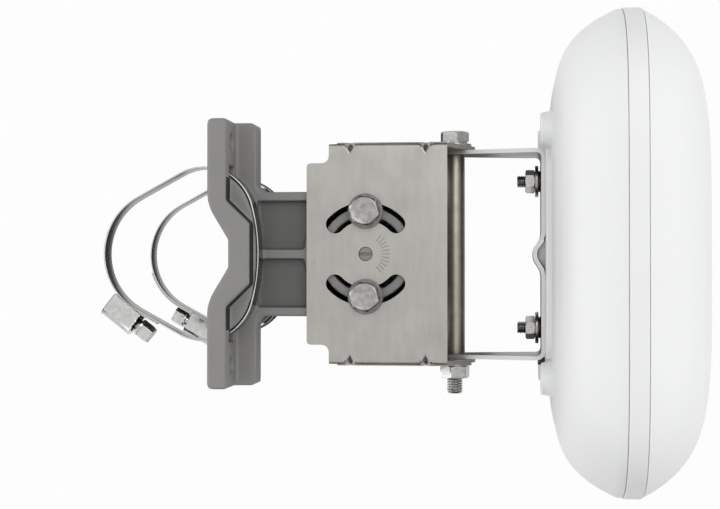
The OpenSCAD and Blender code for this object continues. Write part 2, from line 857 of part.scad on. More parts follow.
module tilt_bracket() {
  half = tilt_plate_h / 2;
  color(STEEL) difference() {
    union() {
      on_tilt_axis() {
        tilt_arm();
        mirror([0, 1, 0]) tilt_arm();
      }
      block([tilt_back_x, -tilt_outer, -half], [radio_x, tilt_outer, half]);
      translate([0, 0, -half]) linear_extrude(tilt_plate_h) polygon([
        [tilt_back_x + 0.5, -bump_w / 2], [tilt_back_x - bump_d, -bump_w / 8],
        [tilt_back_x - bump_d, bump_w / 8], [tilt_back_x + 0.5, bump_w / 2]
      ]);
    }
    translate([0, 0, -half - 1]) linear_extrude(tilt_plate_h + 2) polygon([
      [radio_x + 1, -bump_w / 2 + sheet_t], [radio_x, -bump_w / 2 + sheet_t],
      [radio_x - bump_d, -bump_w / 10], [radio_x - bump_d, bump_w / 10],
      [radio_x, bump_w / 2 - sheet_t], [radio_x + 1, bump_w / 2 - sheet_t]
    ]);
    for (s = MIRRORED) translate([0, s * stud_y, 0])
      rod_x(stud_d + 2 * running, tilt_back_x - 1, radio_x + 1);
  }
}

// Hardware on the two studs, from the plate outwards towards the tilt bolt
module at_studs() {
  for (s = MIRRORED) translate([tilt_back_x, s * stud_y, 0]) rotate([0, -90, 0]) children();
}

module bracket_studs() {
  color(STEEL) for (s = MIRRORED)
    translate([0, s * stud_y, 0]) rod_x(stud_d, tilt_back_x - stud_out, radio_x + stud_in);
}

module bracket_spring_washers() {
  color(DARK_STEEL) at_studs() split_washer(stud_spring_d, stud_d + 2 * bolt_gap, stud_spring_t);
}

module bracket_flat_washers() {
  color(STEEL) at_studs() translate([0, 0, stud_spring_t])
    washer(stud_flat_d, stud_d + 2 * bolt_gap, stud_flat_t);
}

module bracket_nuts() {
  color(STEEL) at_studs() translate([0, 0, stud_spring_t + stud_flat_t]) difference() {
    hex(stud_nut_af, stud_nut_h);
    translate([0, 0, -1]) cylinder(d = stud_d + 2 * bolt_gap, h = stud_nut_h + 2);
  }
}

// Radio shells

// Depth of the front dome and of the rear shell at a share of the outline
function front_at(s) = apex_x - dome_depth * pow(s, 2) - (front_depth - dome_depth) * pow(s, dome_power);
function rear_at(s) = rear_x + rear_depth * pow(s, rear_power);

module front_radome() {
  inner_half = shell_half - shell_t;
  inside = [for (i = [len(SHELL_SHARES) - 2:-1:0]) SHELL_SHARES[i]];
  color(WHITE) bowl_stack(
    apex_x,
    concat(
      [for (s = SHELL_SHARES) [front_at(s), s * shell_half]],
      [[front_x, inner_half]],
      [for (s = inside) [front_at(s) - shell_t * (1 - pow(s, 6)), s * inner_half]]
    ),
    apex_x - shell_t
  );
}

// The rear housing is open at the back, with a flat seat round the opening
module rear_housing() {
  inner_half = shell_half - shell_t;
  seat_share = back_seat / shell_half;
  shares = [for (s = SHELL_SHARES) if (s > seat_share + 0.05) s];
  color(WHITE) difference() {
    union() {
      ring_stack(concat(
        [[rear_x + shell_t, back_open], [rear_x + shell_t, back_seat - shell_t]],
        [for (s = shares) [rear_at(s) + shell_t * (1 - pow(s, 12)), s * inner_half]],
        [for (i = [len(shares) - 1:-1:0]) [rear_at(shares[i]), shares[i] * shell_half]],
        [[rear_x, back_seat], [rear_x, back_open]]
      ));
      translate([gland_x, 0, gland_seat_z]) cylinder(d = gland_boss_d, h = gland_boss_l);
    }
    translate([gland_x, 0, gland_seat_z - 1]) cylinder(d = gland_d + 2 * bolt_gap, h = gland_thread_l + 3);
  }
}

module seam_band() {
  color(WHITE) ring_stack([
    [front_x, seam_in], [front_x, shell_half], [front_x - seam_step, radio_half],
    [seam_x + seam_step, radio_half], [seam_x, shell_half], [seam_x, seam_in]
  ]);
}

module housing_seal() {
  color(BLACK) ring_stack([
    [front_x - seal_in, seam_in - seal_w], [front_x - seal_in, seam_in],
    [seam_x + seal_in, seam_in], [seam_x + seal_in, seam_in - seal_w]
  ]);
}

// Rear cover with the mounting pad, the four screw bosses and the ports

// Rounded square lid whose skirt comes down to the curve of the housing
module cover_lid() {
  wall_in = rear_x - seal_t;
  skirt = cover_half + cover_slope;
  skirt_x = rear_at(skirt / shell_half) - cover_skirt_gap;
  bowl_stack(
    wall_in,
    [
      [wall_in, back_seat], [skirt_x - 0.3, skirt - cover_skirt_t], [skirt_x, skirt], [cover_x, cover_half]
    ],
    cover_x
  );
}

module cover_plug() {
  wall_in = rear_x - seal_t;
  half = cover_plug_half;
  difference() {
    rounded_plate_x(half, half, cover_plug_corner, wall_in - 1, chassis_x);
    rounded_plate_x(half - shell_t, half - shell_t, cover_plug_corner - shell_t, wall_in, chassis_x + 1);
  }
  at_corners(boss_y, boss_z) rod_x(screw_boss_d, wall_in - 1, chassis_x);
  for (s = MIRRORED) translate([0, s * stud_y, 0]) rod_x(inner_boss_d, wall_in - 1, chassis_x);
  for (y = [-port_y, 0, port_y]) translate([0, y, port_z]) rod_x(inner_boss_d, wall_in - 1, chassis_x);
}

module rear_cover() {
  color(WHITE) difference() {
    union() {
      cover_lid();
      cover_plug();
      rounded_plate_x(pad_w / 2, pad_h / 2, pad_corner, radio_x, cover_x + 1);
      at_corners(boss_y, boss_z) rod_x(boss_d, boss_x, cover_x + 1);
    }
    for (s = MIRRORED) translate([0, s * stud_y, 0])
      rod_x(stud_d + 2 * bolt_gap, radio_x - 1, radio_x + stud_in + 0.5);
    at_corners(boss_y, boss_z) {
      rod_x(cover_screw_d + 2 * bolt_gap, boss_x - 1, chassis_x + 1);
      rod_x(cover_screw_head + 4 * running, boss_x - 1, boss_x + cover_screw_sink);
    }
    translate([0, -port_y, port_z]) rod_x(console_d + running, cover_x - 1, cover_x + port_depth);
    translate([0, 0, port_z]) rod_x(vent_d + running, cover_x - 1, cover_x + port_depth);
    translate([0, port_y, port_z]) rod_x(ground_d + 2 * bolt_gap, cover_x - 1, cover_x + port_depth);
  }
}

module cover_seal() {
  inner = back_open + 0.5;
  outer = back_seat - 2;
  color(BLACK) difference() {
    rounded_plate_x(outer, outer, seal_corner[0], rear_x - seal_t, rear_x);
    rounded_plate_x(inner, inner, seal_corner[1], rear_x - seal_t - 1, rear_x + 1);
  }
}

module cover_screws() {
  color(STEEL) at_corners(boss_y, boss_z) {
    rod_x(cover_screw_head, boss_x - cover_screw_proud, boss_x + cover_screw_sink);
    rod_x(cover_screw_d, boss_x + cover_screw_sink - 0.5, chassis_front);
  }
}

// Radio electronics

module chassis_plate() {
  color(STEEL) difference() {
    rounded_plate_x(chassis_half, chassis_half, chassis_corner, chassis_x, chassis_front);
    at_corners(boss_y, boss_z) rod_x(cover_screw_d + 2 * bolt_gap, chassis_x - 1, chassis_front + 1);
    translate([chassis_x - 1, -cable_notch[0] / 2, -chassis_half - 1])
      cube([chassis_t + 2, cable_notch[0], cable_notch[1]]);
  }
}

// A block over each shield can, smaller by a margin
module over_cans(from, to, margin) {
  for (c = CANS)
    block([from, c[0] - c[2] / 2 + margin, c[1] - c[3] / 2 + margin],
      [to, c[0] + c[2] / 2 - margin, c[1] + c[3] / 2 - margin]);
}

module thermal_pads() {
  color("#8aa0b5") over_cans(chassis_front, chassis_front + thermal_t, can_margin);
}

module shield_cans() {
  color(DARK_STEEL) over_cans(board_x - can_h, board_x, 0);
}

module main_board() {
  color(BOARD) difference() {
    rounded_plate_x(board_half, board_half, board_corner, board_x, board_front);
    at_corners(post_at, post_at) rod_x(board_screw_d + 2 * bolt_gap, board_x - 1, board_front + 1);
  }
}

// Each screw stands in its own spacer on the chassis plate
module board_screws() {
  color(STEEL) at_corners(post_at, post_at) {
    rod_x(board_screw_d, chassis_front, board_front + board_screw_out);
    rod_x(post_d, chassis_front, board_x);
  }
}

module antenna_posts() {
  color(STEEL) at_corners(post_at, post_at) difference() {
    rod_x(post_d, board_front, panel_x);
    rod_x(board_screw_d + 2 * bolt_gap, board_front - 1, board_front + post_hole_l);
  }
}

module antenna_panel() {
  color(BOARD) rounded_plate_x(panel_half, panel_half, panel_corner, panel_x, panel_front);
}

module antenna_patches() {
  half = patch_w / 2;
  color(COPPER) for (sy = [-1, 0, 1], sz = [-1, 0, 1]) if (sy != 0 || sz != 0)
    translate([0, sy * patch_pitch, sz * patch_pitch])
      block([panel_front, -half, -half], [panel_front + patch_t, half, half]);
}

module mmwave_module() {
  half = module_w / 2;
  color(BLACK) block([panel_front, -half, -half], [panel_front + module_t, half, half]);
}

// Cable entry

module ethernet_jack() {
  color(STEEL) translate([board_front, -jack_size[1] / 2, -board_half + 2]) difference() {
    cube(jack_size);
    translate([jack_wall, jack_wall, -1]) cube(jack_size - [2 * jack_wall, 2 * jack_wall, jack_wall]);
  }
}

// Along Z from the gland's flange, which hangs under the gasket
module at_gland() {
  translate([gland_x, 0, gland_seat_z - gland_gasket_t]) children();
}

module cable_gland() {
  body_low = -gland_flange_t - gland_body_l;
  top = gland_thread_l + gland_gasket_t;
  color(BLACK) at_gland() difference() {
    union() {
      cylinder(d = gland_d, h = top);
      translate([0, 0, -gland_flange_t]) cylinder(d = gland_flange_d, h = gland_flange_t, $fn = 6);
      translate([0, 0, body_low]) cylinder(d = gland_body_d, h = gland_body_l + 1);
    }
    translate([0, 0, body_low - 1]) cylinder(d = gland_bore_d, h = top - body_low + 2);
  }
}

module gland_gasket() {
  color(BLACK) at_gland() washer(gland_flange_d - 4, gland_d + 2 * bolt_gap, gland_gasket_t);
}

module gland_seal() {
  low = -gland_flange_t - gland_body_l - gland_nut_gap;
  color("#3a3a3a") at_gland() translate([0, 0, low])
    washer(gland_bore_d - 2 * bolt_gap, gland_seal_d, gland_seal_l);
}

module gland_nut() {
  low = -gland_flange_t - gland_body_l - gland_nut_gap - gland_nut_floor;
  color(BLACK) at_gland() translate([0, 0, low]) difference() {
    hex(gland_nut_af, gland_nut_l);
    translate([0, 0, gland_nut_floor]) cylinder(d = gland_body_d + 2 * bolt_gap, h = gland_nut_l);
    translate([0, 0, -1]) cylinder(d = cable_d + 3, h = gland_nut_l);
  }
}

// A plug pushed into one of the ports
module port_plug(d, head) {
  rod_x(d, cover_x - 0.5, cover_x + port_depth - 0.5);
  rod_x(head[0], cover_x - head[1], cover_x);
}

module vent_plug() {
  color("#4a4a4a") translate([0, 0, port_z]) port_plug(vent_d, vent_head);
}

module console_plug() {
  color("#d8d9da") translate([0, -port_y, port_z]) port_plug(console_d, console_head);
}

module ground_washer() {
  color(STEEL) translate([cover_x, port_y, port_z]) rotate([0, -90, 0])
    washer(ground_washer_size[0], ground_d + 2 * bolt_gap, ground_washer_size[1]);
}

module ground_screw() {
  under = cover_x - ground_washer_size[1];
  color("#b9a36b") translate([0, port_y, port_z]) difference() {
    union() {
      rod_x(ground_d, under - 0.5, cover_x + port_depth - 0.5);
      rod_x(ground_head[0], under - ground_head[1], under);
    }
    translate([under - ground_head[1], 0, 0])
      cube([2 * ground_slot[0], ground_slot[1], 2 * ground_head[0]], center = true);
  }
}

pole_saddle();
clamp_band_upper();
clamp_band_lower();
clamp_housing_upper();
clamp_housing_lower();
clamp_screw_upper();
clamp_screw_lower();
swivel_bolts();
swivel_spring_washers();
swivel_flat_washers();
pivot_pin();
swivel_bracket();
tilt_bolt();
tilt_flat_washers();
tilt_spring_washer();
tilt_nut();
tilt_sleeve();
tilt_bracket();
bracket_studs();
bracket_nuts();
bracket_flat_washers();
bracket_spring_washers();
rear_cover();
cover_screws();
cover_seal();
rear_housing();
seam_band();
housing_seal();
front_radome();
chassis_plate();
thermal_pads();
shield_cans();
main_board();
board_screws();
antenna_posts();
antenna_panel();
antenna_patches();
mmwave_module();
ethernet_jack();
cable_gland();
gland_gasket();
gland_seal();
gland_nut();
vent_plug();
ground_screw();
ground_washer();
console_plug();
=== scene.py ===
"""Outdoor wireless bridge on its pole bracket: the detailed surfaces, finishes and studio.

Lengths are millimetres until a mesh is made. Z runs up the pole and X along the radio's aim.
"""
from functools import partialmethod

import bmesh
import bpy
import numpy as np
from mathutils import Matrix, Vector
from mathutils.geometry import delaunay_2d_cdt


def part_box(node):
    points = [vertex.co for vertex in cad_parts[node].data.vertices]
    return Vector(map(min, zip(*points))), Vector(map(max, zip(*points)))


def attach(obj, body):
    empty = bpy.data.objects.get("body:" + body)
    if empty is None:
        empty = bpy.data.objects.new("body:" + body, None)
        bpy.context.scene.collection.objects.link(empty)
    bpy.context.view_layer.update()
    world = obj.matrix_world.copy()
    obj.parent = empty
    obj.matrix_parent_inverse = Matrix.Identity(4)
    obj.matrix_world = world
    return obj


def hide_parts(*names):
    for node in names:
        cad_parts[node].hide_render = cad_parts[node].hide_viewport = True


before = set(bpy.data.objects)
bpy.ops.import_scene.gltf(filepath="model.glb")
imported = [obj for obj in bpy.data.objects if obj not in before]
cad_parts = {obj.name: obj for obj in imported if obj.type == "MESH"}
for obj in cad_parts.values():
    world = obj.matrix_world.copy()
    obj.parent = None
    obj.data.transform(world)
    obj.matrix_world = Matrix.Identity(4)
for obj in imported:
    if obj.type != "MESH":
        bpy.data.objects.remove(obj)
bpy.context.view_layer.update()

MM = 0.001
TURN = 2 * np.pi
X = np.array([1.0, 0.0, 0.0])
Y = np.array([0.0, 1.0, 0.0])
Z = np.array([0.0, 0.0, 1.0])
SIDES = (-1, 1)


# Sizes, read from the solids

def span(node):
    """Lowest and highest corner of a CAD node, in millimetres."""
    low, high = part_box(node)
    return np.array(low) / MM, np.array(high) / MM


def middle(node):
    """Middle of a CAD node's box, in millimetres."""
    low, high = span(node)
    return (low + high) / 2


SADDLE_LOW, SADDLE_HIGH = span("pole_saddle")
BRACKET_LOW, BRACKET_HIGH = span("swivel_bracket")
FACE_X = SADDLE_LOW[0]
PIVOT_X = middle("pivot_pin")[0]
TILT_X = middle("tilt_sleeve")[0]
SIDE_Y = BRACKET_HIGH[1]
PLATE_TOP = BRACKET_HIGH[2]
SHEET = 2.0
EAR_R = -BRACKET_LOW[2]
RADIO_X, TILT_OUTER, TILT_HALF = span("tilt_bracket")[1]
REAR_X = span("rear_housing")[0][0]
SEAM_X = span("seam_band")[0][0]
FRONT_X, RADIO_HALF = span("seam_band")[1][:2]
APEX_X = span("front_radome")[1][0]
BAND_Z = middle("clamp_band_upper")[2]
BAND_W = 12.0
BAND_T = 0.8
WORM_PITCH = 3.1
STUD_Y = span("bracket_nuts")[1][1] - 5.0
WING_X = FACE_X + 9.0
ROOT_X = FACE_X + 19.2
VEE_X, VEE_Y, VEE_FLOOR_Y = FACE_X + 10.0, 23.0, 6.5
VEE_BACK_X, VEE_BACK_Y, VEE_ROOT_Y = FACE_X + 20.2, 14.1, 25.0
# Half width, lowest height and end of the painted shade on the wall behind the vee.
VEE_SHADE_W, VEE_SHADE_LOW, VEE_SHADE_END = 0.5, 51.2, 36.0
ARM_HALF, ARM_TOP = 30.0, 35.0
LIP_LOW = 23.0


# Surfaces

def unit(v):
    """The vector, or each row of several, at length one."""
    v = np.asarray(v, float)
    return v / np.maximum(np.linalg.norm(v, axis=-1, keepdims=True), 1e-9)


def rectangle(x0, y0, x1, y1):
    """Four corners, from the low one round."""
    return [(x0, y0), (x1, y0), (x1, y1), (x0, y1)]


def polar(radius, angle, height):
    """A grid of points from their radius, angle and height."""
    return np.stack(np.broadcast_arrays(radius * np.cos(angle), radius * np.sin(angle), height), -1)


def skin(grid, wrap_rows=False, caps=True):
    """A grid of rings as a closed surface: the rings close on themselves and the ends are flat."""
    rows, columns = grid.shape[:2]
    i = np.arange(rows if wrap_rows else rows - 1)[:, None]
    j = np.arange(columns)[None, :]
    ni = (i + 1) % rows
    nj = (j + 1) % columns
    corners = [i * columns + j, i * columns + nj, ni * columns + nj, ni * columns + j]
    faces = np.stack(corners, -1).reshape(-1, 4).tolist()
    if caps and not wrap_rows:
        faces.append(list(range(columns - 1, -1, -1)))
        faces.append(list(range((rows - 1) * columns, rows * columns)))
    return grid.reshape(-1, 3), faces


def round_corners(points, radius, steps=6, closed=True):
    """Each corner becomes an arc: the blend (1-t)^2 a + 2t(1-t) p + t^2 b between its two tangent points."""
    p = np.asarray(points, float)
    before = np.roll(p, 1, 0) - p
    after = np.roll(p, -1, 0) - p
    reach = np.array(np.broadcast_to(radius, len(p)), float)
    if not closed:
        reach[[0, -1]] = 0
    before_l = np.maximum(np.linalg.norm(before, axis=1), 1e-9)
    after_l = np.maximum(np.linalg.norm(after, axis=1), 1e-9)
    a = p + before * (np.minimum(reach, before_l * 0.49) / before_l)[:, None]
    b = p + after * (np.minimum(reach, after_l * 0.49) / after_l)[:, None]
    t = np.linspace(0, 1, steps)[None, :, None]
    arcs = (1 - t) ** 2 * a[:, None] + 2 * t * (1 - t) * p[:, None] + t ** 2 * b[:, None]
    out = arcs.reshape(-1, p.shape[1])
    keep = np.linalg.norm(out - np.roll(out, 1, 0), axis=1) > 1e-6
    if not closed:
        keep[0] = True
    return out[keep]


def inset(outline, distance):
    """The outline moved inwards, each point along the mean of its two sides' normals."""
    back = unit(outline - np.roll(outline, 1, 0))
    ahead = unit(np.roll(outline, -1, 0) - outline)
    along = unit(back + ahead)
    stretch = np.maximum((along * ahead).sum(1, keepdims=True), 0.5)
    return outline + distance * np.stack([-along[:, 1], along[:, 0]], 1) / stretch


def prism(outline, low, high, edge):
    """An outline carried along local Z, its two ends rounded: inset and height follow a quarter circle."""
    a = np.linspace(0, np.pi / 2, 4)
    insets = np.concatenate([edge * (1 - np.sin(a)), edge * (1 - np.sin(a[::-1]))])
    heights = np.concatenate([low + edge * (1 - np.cos(a)), high - edge * (1 - np.cos(a[::-1]))])
    rings = [np.column_stack([inset(outline, d), np.full(len(outline), h)]) for d, h in zip(insets, heights)]
    return skin(np.stack(rings))


def revolve(profile, count=64, flats=None, ring=False):
    """A profile of (radius, height) carried round Z. With flats, the radius stops at a hexagon that wide."""
    profile = np.asarray(profile, float)
    a = np.arange(count) * TURN / count
    radius = profile[:, :1]
    if flats:
        sector = (a + np.pi / 6) % (np.pi / 3) - np.pi / 6
        radius = np.minimum(radius, flats / 2 / np.cos(sector))
    return skin(polar(radius, a, profile[:, 1:]), wrap_rows=ring, caps=not ring)


def lay(shape, origin, axis=Z, side=X):
    """Local Z is laid along the axis and local X along the side, from the origin."""
    points, faces = shape
    axis = unit(axis)
    side = unit(np.asarray(side, float) - np.dot(side, axis) * axis)
    turned = points @ np.stack([side, np.cross(axis, side), axis])
    return turned + np.asarray(origin, float), faces


def mirrored(shape):
    """The shape on the other side of the middle plane."""
    points, faces = shape
    return points * (1, -1, 1), [face[::-1] for face in faces]


def join(*shapes):
    """Several closed surfaces as one."""
    points, faces, count = [], [], 0
    for p, f in shapes:
        points.append(p)
        faces += [[i + count for i in face] for face in f]
        count += len(p)
    return np.concatenate(points), faces


def both_halves(half):
    """A half and its copy, turned half round local Z."""
    return join(half, (half[0] * (-1, -1, 1), half[1]))


def heading(degrees):
    """The level direction at an angle from X."""
    a = np.radians(degrees)
    return np.array([np.cos(a), np.sin(a), 0])


def arc(radius, first, last, steps):
    """Points on a circle round the origin, between two angles in degrees."""
    a = np.radians(np.linspace(first, last, steps))
    return np.stack([radius * np.cos(a), radius * np.sin(a)], 1)


def inside(points, loop):
    """Which points lie inside a loop: an odd number of its sides lies to their right."""
    x, y = points[:, 0, None], points[:, 1, None]
    ax, ay = loop[:, 0], loop[:, 1]
    bx, by = np.roll(ax, -1), np.roll(ay, -1)
    crosses = (ay > y) != (by > y)
    slope = (bx - ax) / np.where(by == ay, 1e-9, by - ay)
    return (crosses & (x < ax + (y - ay) * slope)).sum(1) % 2 == 1


def blank(outline, holes, rows=(), extra=None):
    """A flat sheet as triangles: its outline and holes, with rows of points where it will be bent."""
    loops = [outline, *holes]
    points = np.concatenate(loops)
    edges = []
    start = 0
    for loop in loops:
        k = np.arange(len(loop))
        edges.append(np.stack([start + k, start + (k + 1) % len(loop)], 1))
        start += len(loop)
    for row in rows:
        k = np.arange(len(row) - 1)
        edges.append(np.stack([len(points) + k, len(points) + k + 1], 1))
        points = np.concatenate([points, row])
    if extra is not None:
        points = np.concatenate([points, extra])
    found = delaunay_2d_cdt([Vector(p) for p in points], np.concatenate(edges).tolist(), [], 0, 1e-5)
    flat = np.array([tuple(v) for v in found[0]])
    faces = np.array([list(f) for f in found[2]])
    centre = flat[faces].mean(1)
    kept = inside(centre, outline)
    for hole in holes:
        kept &= ~inside(centre, hole)
    faces = faces[kept]
    used = np.unique(faces)
    number = np.zeros(len(flat), int)
    number[used] = np.arange(len(used))
    return flat[used], number[faces].tolist()


def thread(radius, pitch, depth, low, high, count=36, taper=1.2):
    """A screw thread: radius less depth times the distance, in pitches, from a crest that climbs with the
    angle. The crest fades out over the taper at the upper end."""
    heights = np.linspace(low, high, int((high - low) / pitch * 8) + 2)[:, None]
    a = np.arange(count) * TURN / count
    share = np.abs((heights / pitch - a / TURN) % 1 - 0.5) * 2
    end = np.clip((high - heights) / taper, 0, 1)
    return skin(polar(radius - depth * np.maximum(share, 1 - end), a, heights))


# Finishes

class Value:
    """A shader socket that can be used in sums, and adds a Math node for each."""

    def __init__(self, finish, socket):
        self.finish = finish
        self.socket = socket

    def math(self, operation, *others):
        return self.finish.node("ShaderNodeMath", {"operation": operation}, dict(enumerate((self, *others))))

    def __rsub__(self, other):
        return self.finish.node("ShaderNodeMath", {"operation": "SUBTRACT"}, {0: other, 1: self})

    __add__ = partialmethod(math, "ADD")
    __sub__ = partialmethod(math, "SUBTRACT")
    __mul__ = partialmethod(math, "MULTIPLY")
    __truediv__ = partialmethod(math, "DIVIDE")
    __mod__ = partialmethod(math, "FLOORED_MODULO")
    __lt__ = partialmethod(math, "LESS_THAN")
    __gt__ = partialmethod(math, "GREATER_THAN")
    __abs__ = partialmethod(math, "ABSOLUTE")


class Finish:
    """A material on one Principled shader, whose other nodes come from one method."""

    def __init__(self, name, **sockets):
        self.material = bpy.data.materials.new(name)
        self.material.use_nodes = True
        self.tree = self.material.node_tree
        self.tree.nodes.clear()
        self.shader = self.tree.nodes.new("ShaderNodeBsdfPrincipled")
        out = self.tree.nodes.new("ShaderNodeOutputMaterial")
        self.tree.links.new(self.shader.outputs[0], out.inputs[0])
        self.place = self.node("ShaderNodeTexCoord", output="Object")
        self.set(**sockets)

    def fill(self, socket, value):
        if isinstance(value, Value):
            self.tree.links.new(value.socket, socket)
        else:
            socket.default_value = value

    def set(self, **sockets):
        """Values or links for the shader's own sockets, with _ for a space."""
        for name, value in sockets.items():
            self.fill(self.shader.inputs[name.replace("_", " ")], value)
        return self

    def node(self, kind, settings=None, sockets=None, output=0):
        """A node of this kind, its settings first, then its sockets; gives one of its outputs."""
        node = self.tree.nodes.new(kind)
        for name, value in (settings or {}).items():
            setattr(node, name, value)
        for name, value in (sockets or {}).items():
            self.fill(node.inputs[name], value)
        return Value(self, node.outputs[output])

    def stretched(self, scale):
        """Object coordinates, scaled along each axis."""
        return self.node("ShaderNodeMapping", None, {"Vector": self.place, "Scale": scale})

    def noise(self, scale, detail=2.0, roughness=0.5, vector=None):
        return self.node("ShaderNodeTexNoise", None, {
            "Vector": vector or self.place, "Scale": scale, "Detail": detail, "Roughness": roughness})

    def between(self, value, low, high, first=0.0, last=1.0):
        """The value carried from one range to another, and held at its ends."""
        return self.node("ShaderNodeMapRange", None, {0: value, 1: low, 2: high, 3: first, 4: last})

    def mix(self, factor, first, last):
        """One colour to another by the factor."""
        return self.node("ShaderNodeMix", {"data_type": "RGBA"}, {0: factor, 6: first, 7: last}, output=2)

    def bump(self, height, depth, strength=1.0):
        """A normal from a height, in metres of depth."""
        return self.node("ShaderNodeBump", None, {"Height": height, "Distance": depth, "Strength": strength})

    def split(self, vector):
        """The three parts of a vector."""
        made = self.node("ShaderNodeSeparateXYZ", None, {0: vector})
        return [Value(self, part) for part in made.socket.node.outputs]

    def axes(self):
        """The three Object coordinates, in millimetres."""
        return [part / MM for part in self.split(self.place)]

    def cut_edges(self, low, high):
        """Mask of the faces that look up or down, which are the cut edges of an upright sheet."""
        return self.between(abs(self.split(self.node("ShaderNodeTexCoord", output="Normal"))[2]), low, high)

    def tint(self, mask, colour):
        """The colour so far, carried to another one by a mask."""
        so_far = Value(self, self.shader.inputs["Base Color"].links[0].from_socket)
        return self.set(Base_Color=self.mix(mask, so_far, colour))


def grey(level, warm=0.0):
    """A grey with a little warmth."""
    return (level * (1 + warm), level, level * (1 - 2 * warm), 1)


def vee_wall_painted_shade(f):
    """Mask of the short wall round the back of the vee, between its plate and the band's guide, where the
    wall's shade is painted dark.
    """
    x, y, z = f.axes()
    side, height = abs(y), abs(z)
    run, fall = VEE_BACK_X - WING_X, VEE_ROOT_Y - VEE_BACK_Y
    long = np.hypot(run, fall)
    slanted = abs((x - VEE_BACK_X) * (fall / long) + (side - VEE_BACK_Y) * (run / long))
    flat = (abs(x - VEE_BACK_X) < VEE_SHADE_W) * (side < VEE_BACK_Y)
    slope = (slanted < VEE_SHADE_W) * (side > VEE_BACK_Y) * (side < VEE_ROOT_Y)
    wing = (abs(x - WING_X) < VEE_SHADE_W) * (side > VEE_ROOT_Y) * (side < VEE_SHADE_END)
    level = f.between(height, VEE_SHADE_LOW, VEE_SHADE_LOW + 0.8) * (height < SADDLE_HIGH[2] - 0.9)
    return (flat + slope + wing) * level


def arm_pocket(f):
    """Mask of the arm's two sunk decks, which are coloured darker than the ribs."""
    x, y, z = f.axes()
    along = f.between(x, ROOT_X - 2.0, ROOT_X + 1.5) * (x < BRACKET_LOW[0] + 8.0)
    sunk = f.between(z, ARM_TOP - 2.5, ARM_TOP - 0.6, 1, 0) * (z > LIP_LOW)
    return along * sunk * (abs(y) < ARM_HALF - 2.0)


def cast_coat():
    """Grey coat on a casting: fine orange peel, slow changes of tone, rougher patches, darker sunk decks on
    the arm, and painted shade on the wall behind the vee.
    """
    f = Finish("cast_coat", Metallic=0.15, Specular_IOR_Level=0.45)
    peel = f.noise(900, 3)
    slow = f.noise(38, 3)
    fine = f.noise(4200, 2)
    f.set(Base_Color=f.mix(f.between(slow, 0.3, 0.7), grey(0.232, 0.01), grey(0.258, 0.012)))
    f.tint(f.between(fine, 0.35, 0.75) * 0.25, grey(0.2, 0.01))
    # The arm's sunk decks are coloured darker than the ribs.
    f.tint(arm_pocket(f) * 0.75, grey(0.105, 0.01))
    # Painted shade: the wall behind the vee is coloured nearly black.
    f.tint(vee_wall_painted_shade(f), grey(0.02))
    f.set(Roughness=f.between(slow + peel * 0.4, 0.4, 1.0, 0.5, 0.66))
    f.set(Normal=f.bump(peel + fine * 0.35, 0.00009, 0.55))
    return f


def sheet_steel(name, low, high, rough, lines=(700, 60, 700), warm=0.02):
    """Rolled stainless sheet: drawn-out grain lines, cloudy mottling and fine rub marks."""
    f = Finish(name, Metallic=1.0)
    grain = f.noise(1.0, 4, 0.6, f.stretched(lines))
    cloud = f.noise(70, 4, 0.6)
    fine = f.noise(1900, 2)
    shade = f.between(grain * 0.45 + cloud * 0.55, 0.32, 0.68)
    f.set(Base_Color=f.mix(shade, grey(low, warm), grey(high, warm)))
    f.set(Roughness=f.between(cloud + fine * 0.3, 0.4, 0.9, rough - 0.05, rough + 0.07))
    f.set(Normal=f.bump(grain + fine * 0.5, 0.00003, 0.5))
    return f


def swivel_sheet():
    """The swivel bracket's sheet, with fine engraved marks that fan out from the pivot."""
    f = sheet_steel("swivel_sheet", 0.36, 0.43, 0.4, (300, 60, 300), 0.03)
    step, ring_r, ring_half, fan_half = 10.0, 9.8, 1.8, 53
    x, y, z = f.axes()
    dx = x - PIVOT_X
    angle = y.math("ARCTAN2", dx) * (180 / np.pi)
    far = (dx * dx + y * y).math("SQRT")
    off = abs((angle + step / 2) % step - step / 2) * far * (np.pi / 180)
    line = f.between(off, 0.16, 0.34, 1, 0)
    ring = f.between(abs(far - ring_r), ring_half, ring_half + 0.3, 1, 0)
    fan = f.between(abs(angle), fan_half, fan_half + 1, 1, 0)
    return f.tint(line * ring * fan * (z > PLATE_TOP - 1) * 0.75, grey(0.19, 0.02))


def tilt_sheet():
    """The tilt bracket's sheet: a dark base on its faces that stands in for their shade, and a painted
    highlight on its cut edges.
    """
    # Painted shade: the faces' base colour is kept dark.
    f = sheet_steel("tilt_sheet", 0.15, 0.22, 0.36, (60, 500, 500), 0.015)
    # Painted highlight: the faces that look up or down are coloured bright.
    return f.tint(f.cut_edges(0.6, 0.85), grey(0.66, 0.012))


def fastener_steel(name, low, high, rough, warm=0.015):
    """Turned or forged steel of a fastener: small dents, rub marks and a changing gloss."""
    f = Finish(name, Metallic=1.0)
    dents = f.noise(420, 3, 0.55)
    fine = f.noise(2600, 2)
    f.set(Base_Color=f.mix(f.between(dents, 0.3, 0.7), grey(low, warm), grey(high, warm)))
    f.set(Roughness=f.between(dents + fine * 0.25, 0.4, 0.8, rough - 0.06, rough + 0.1))
    f.set(Normal=f.bump(dents + fine * 0.2, 0.00005, 0.4))
    return f


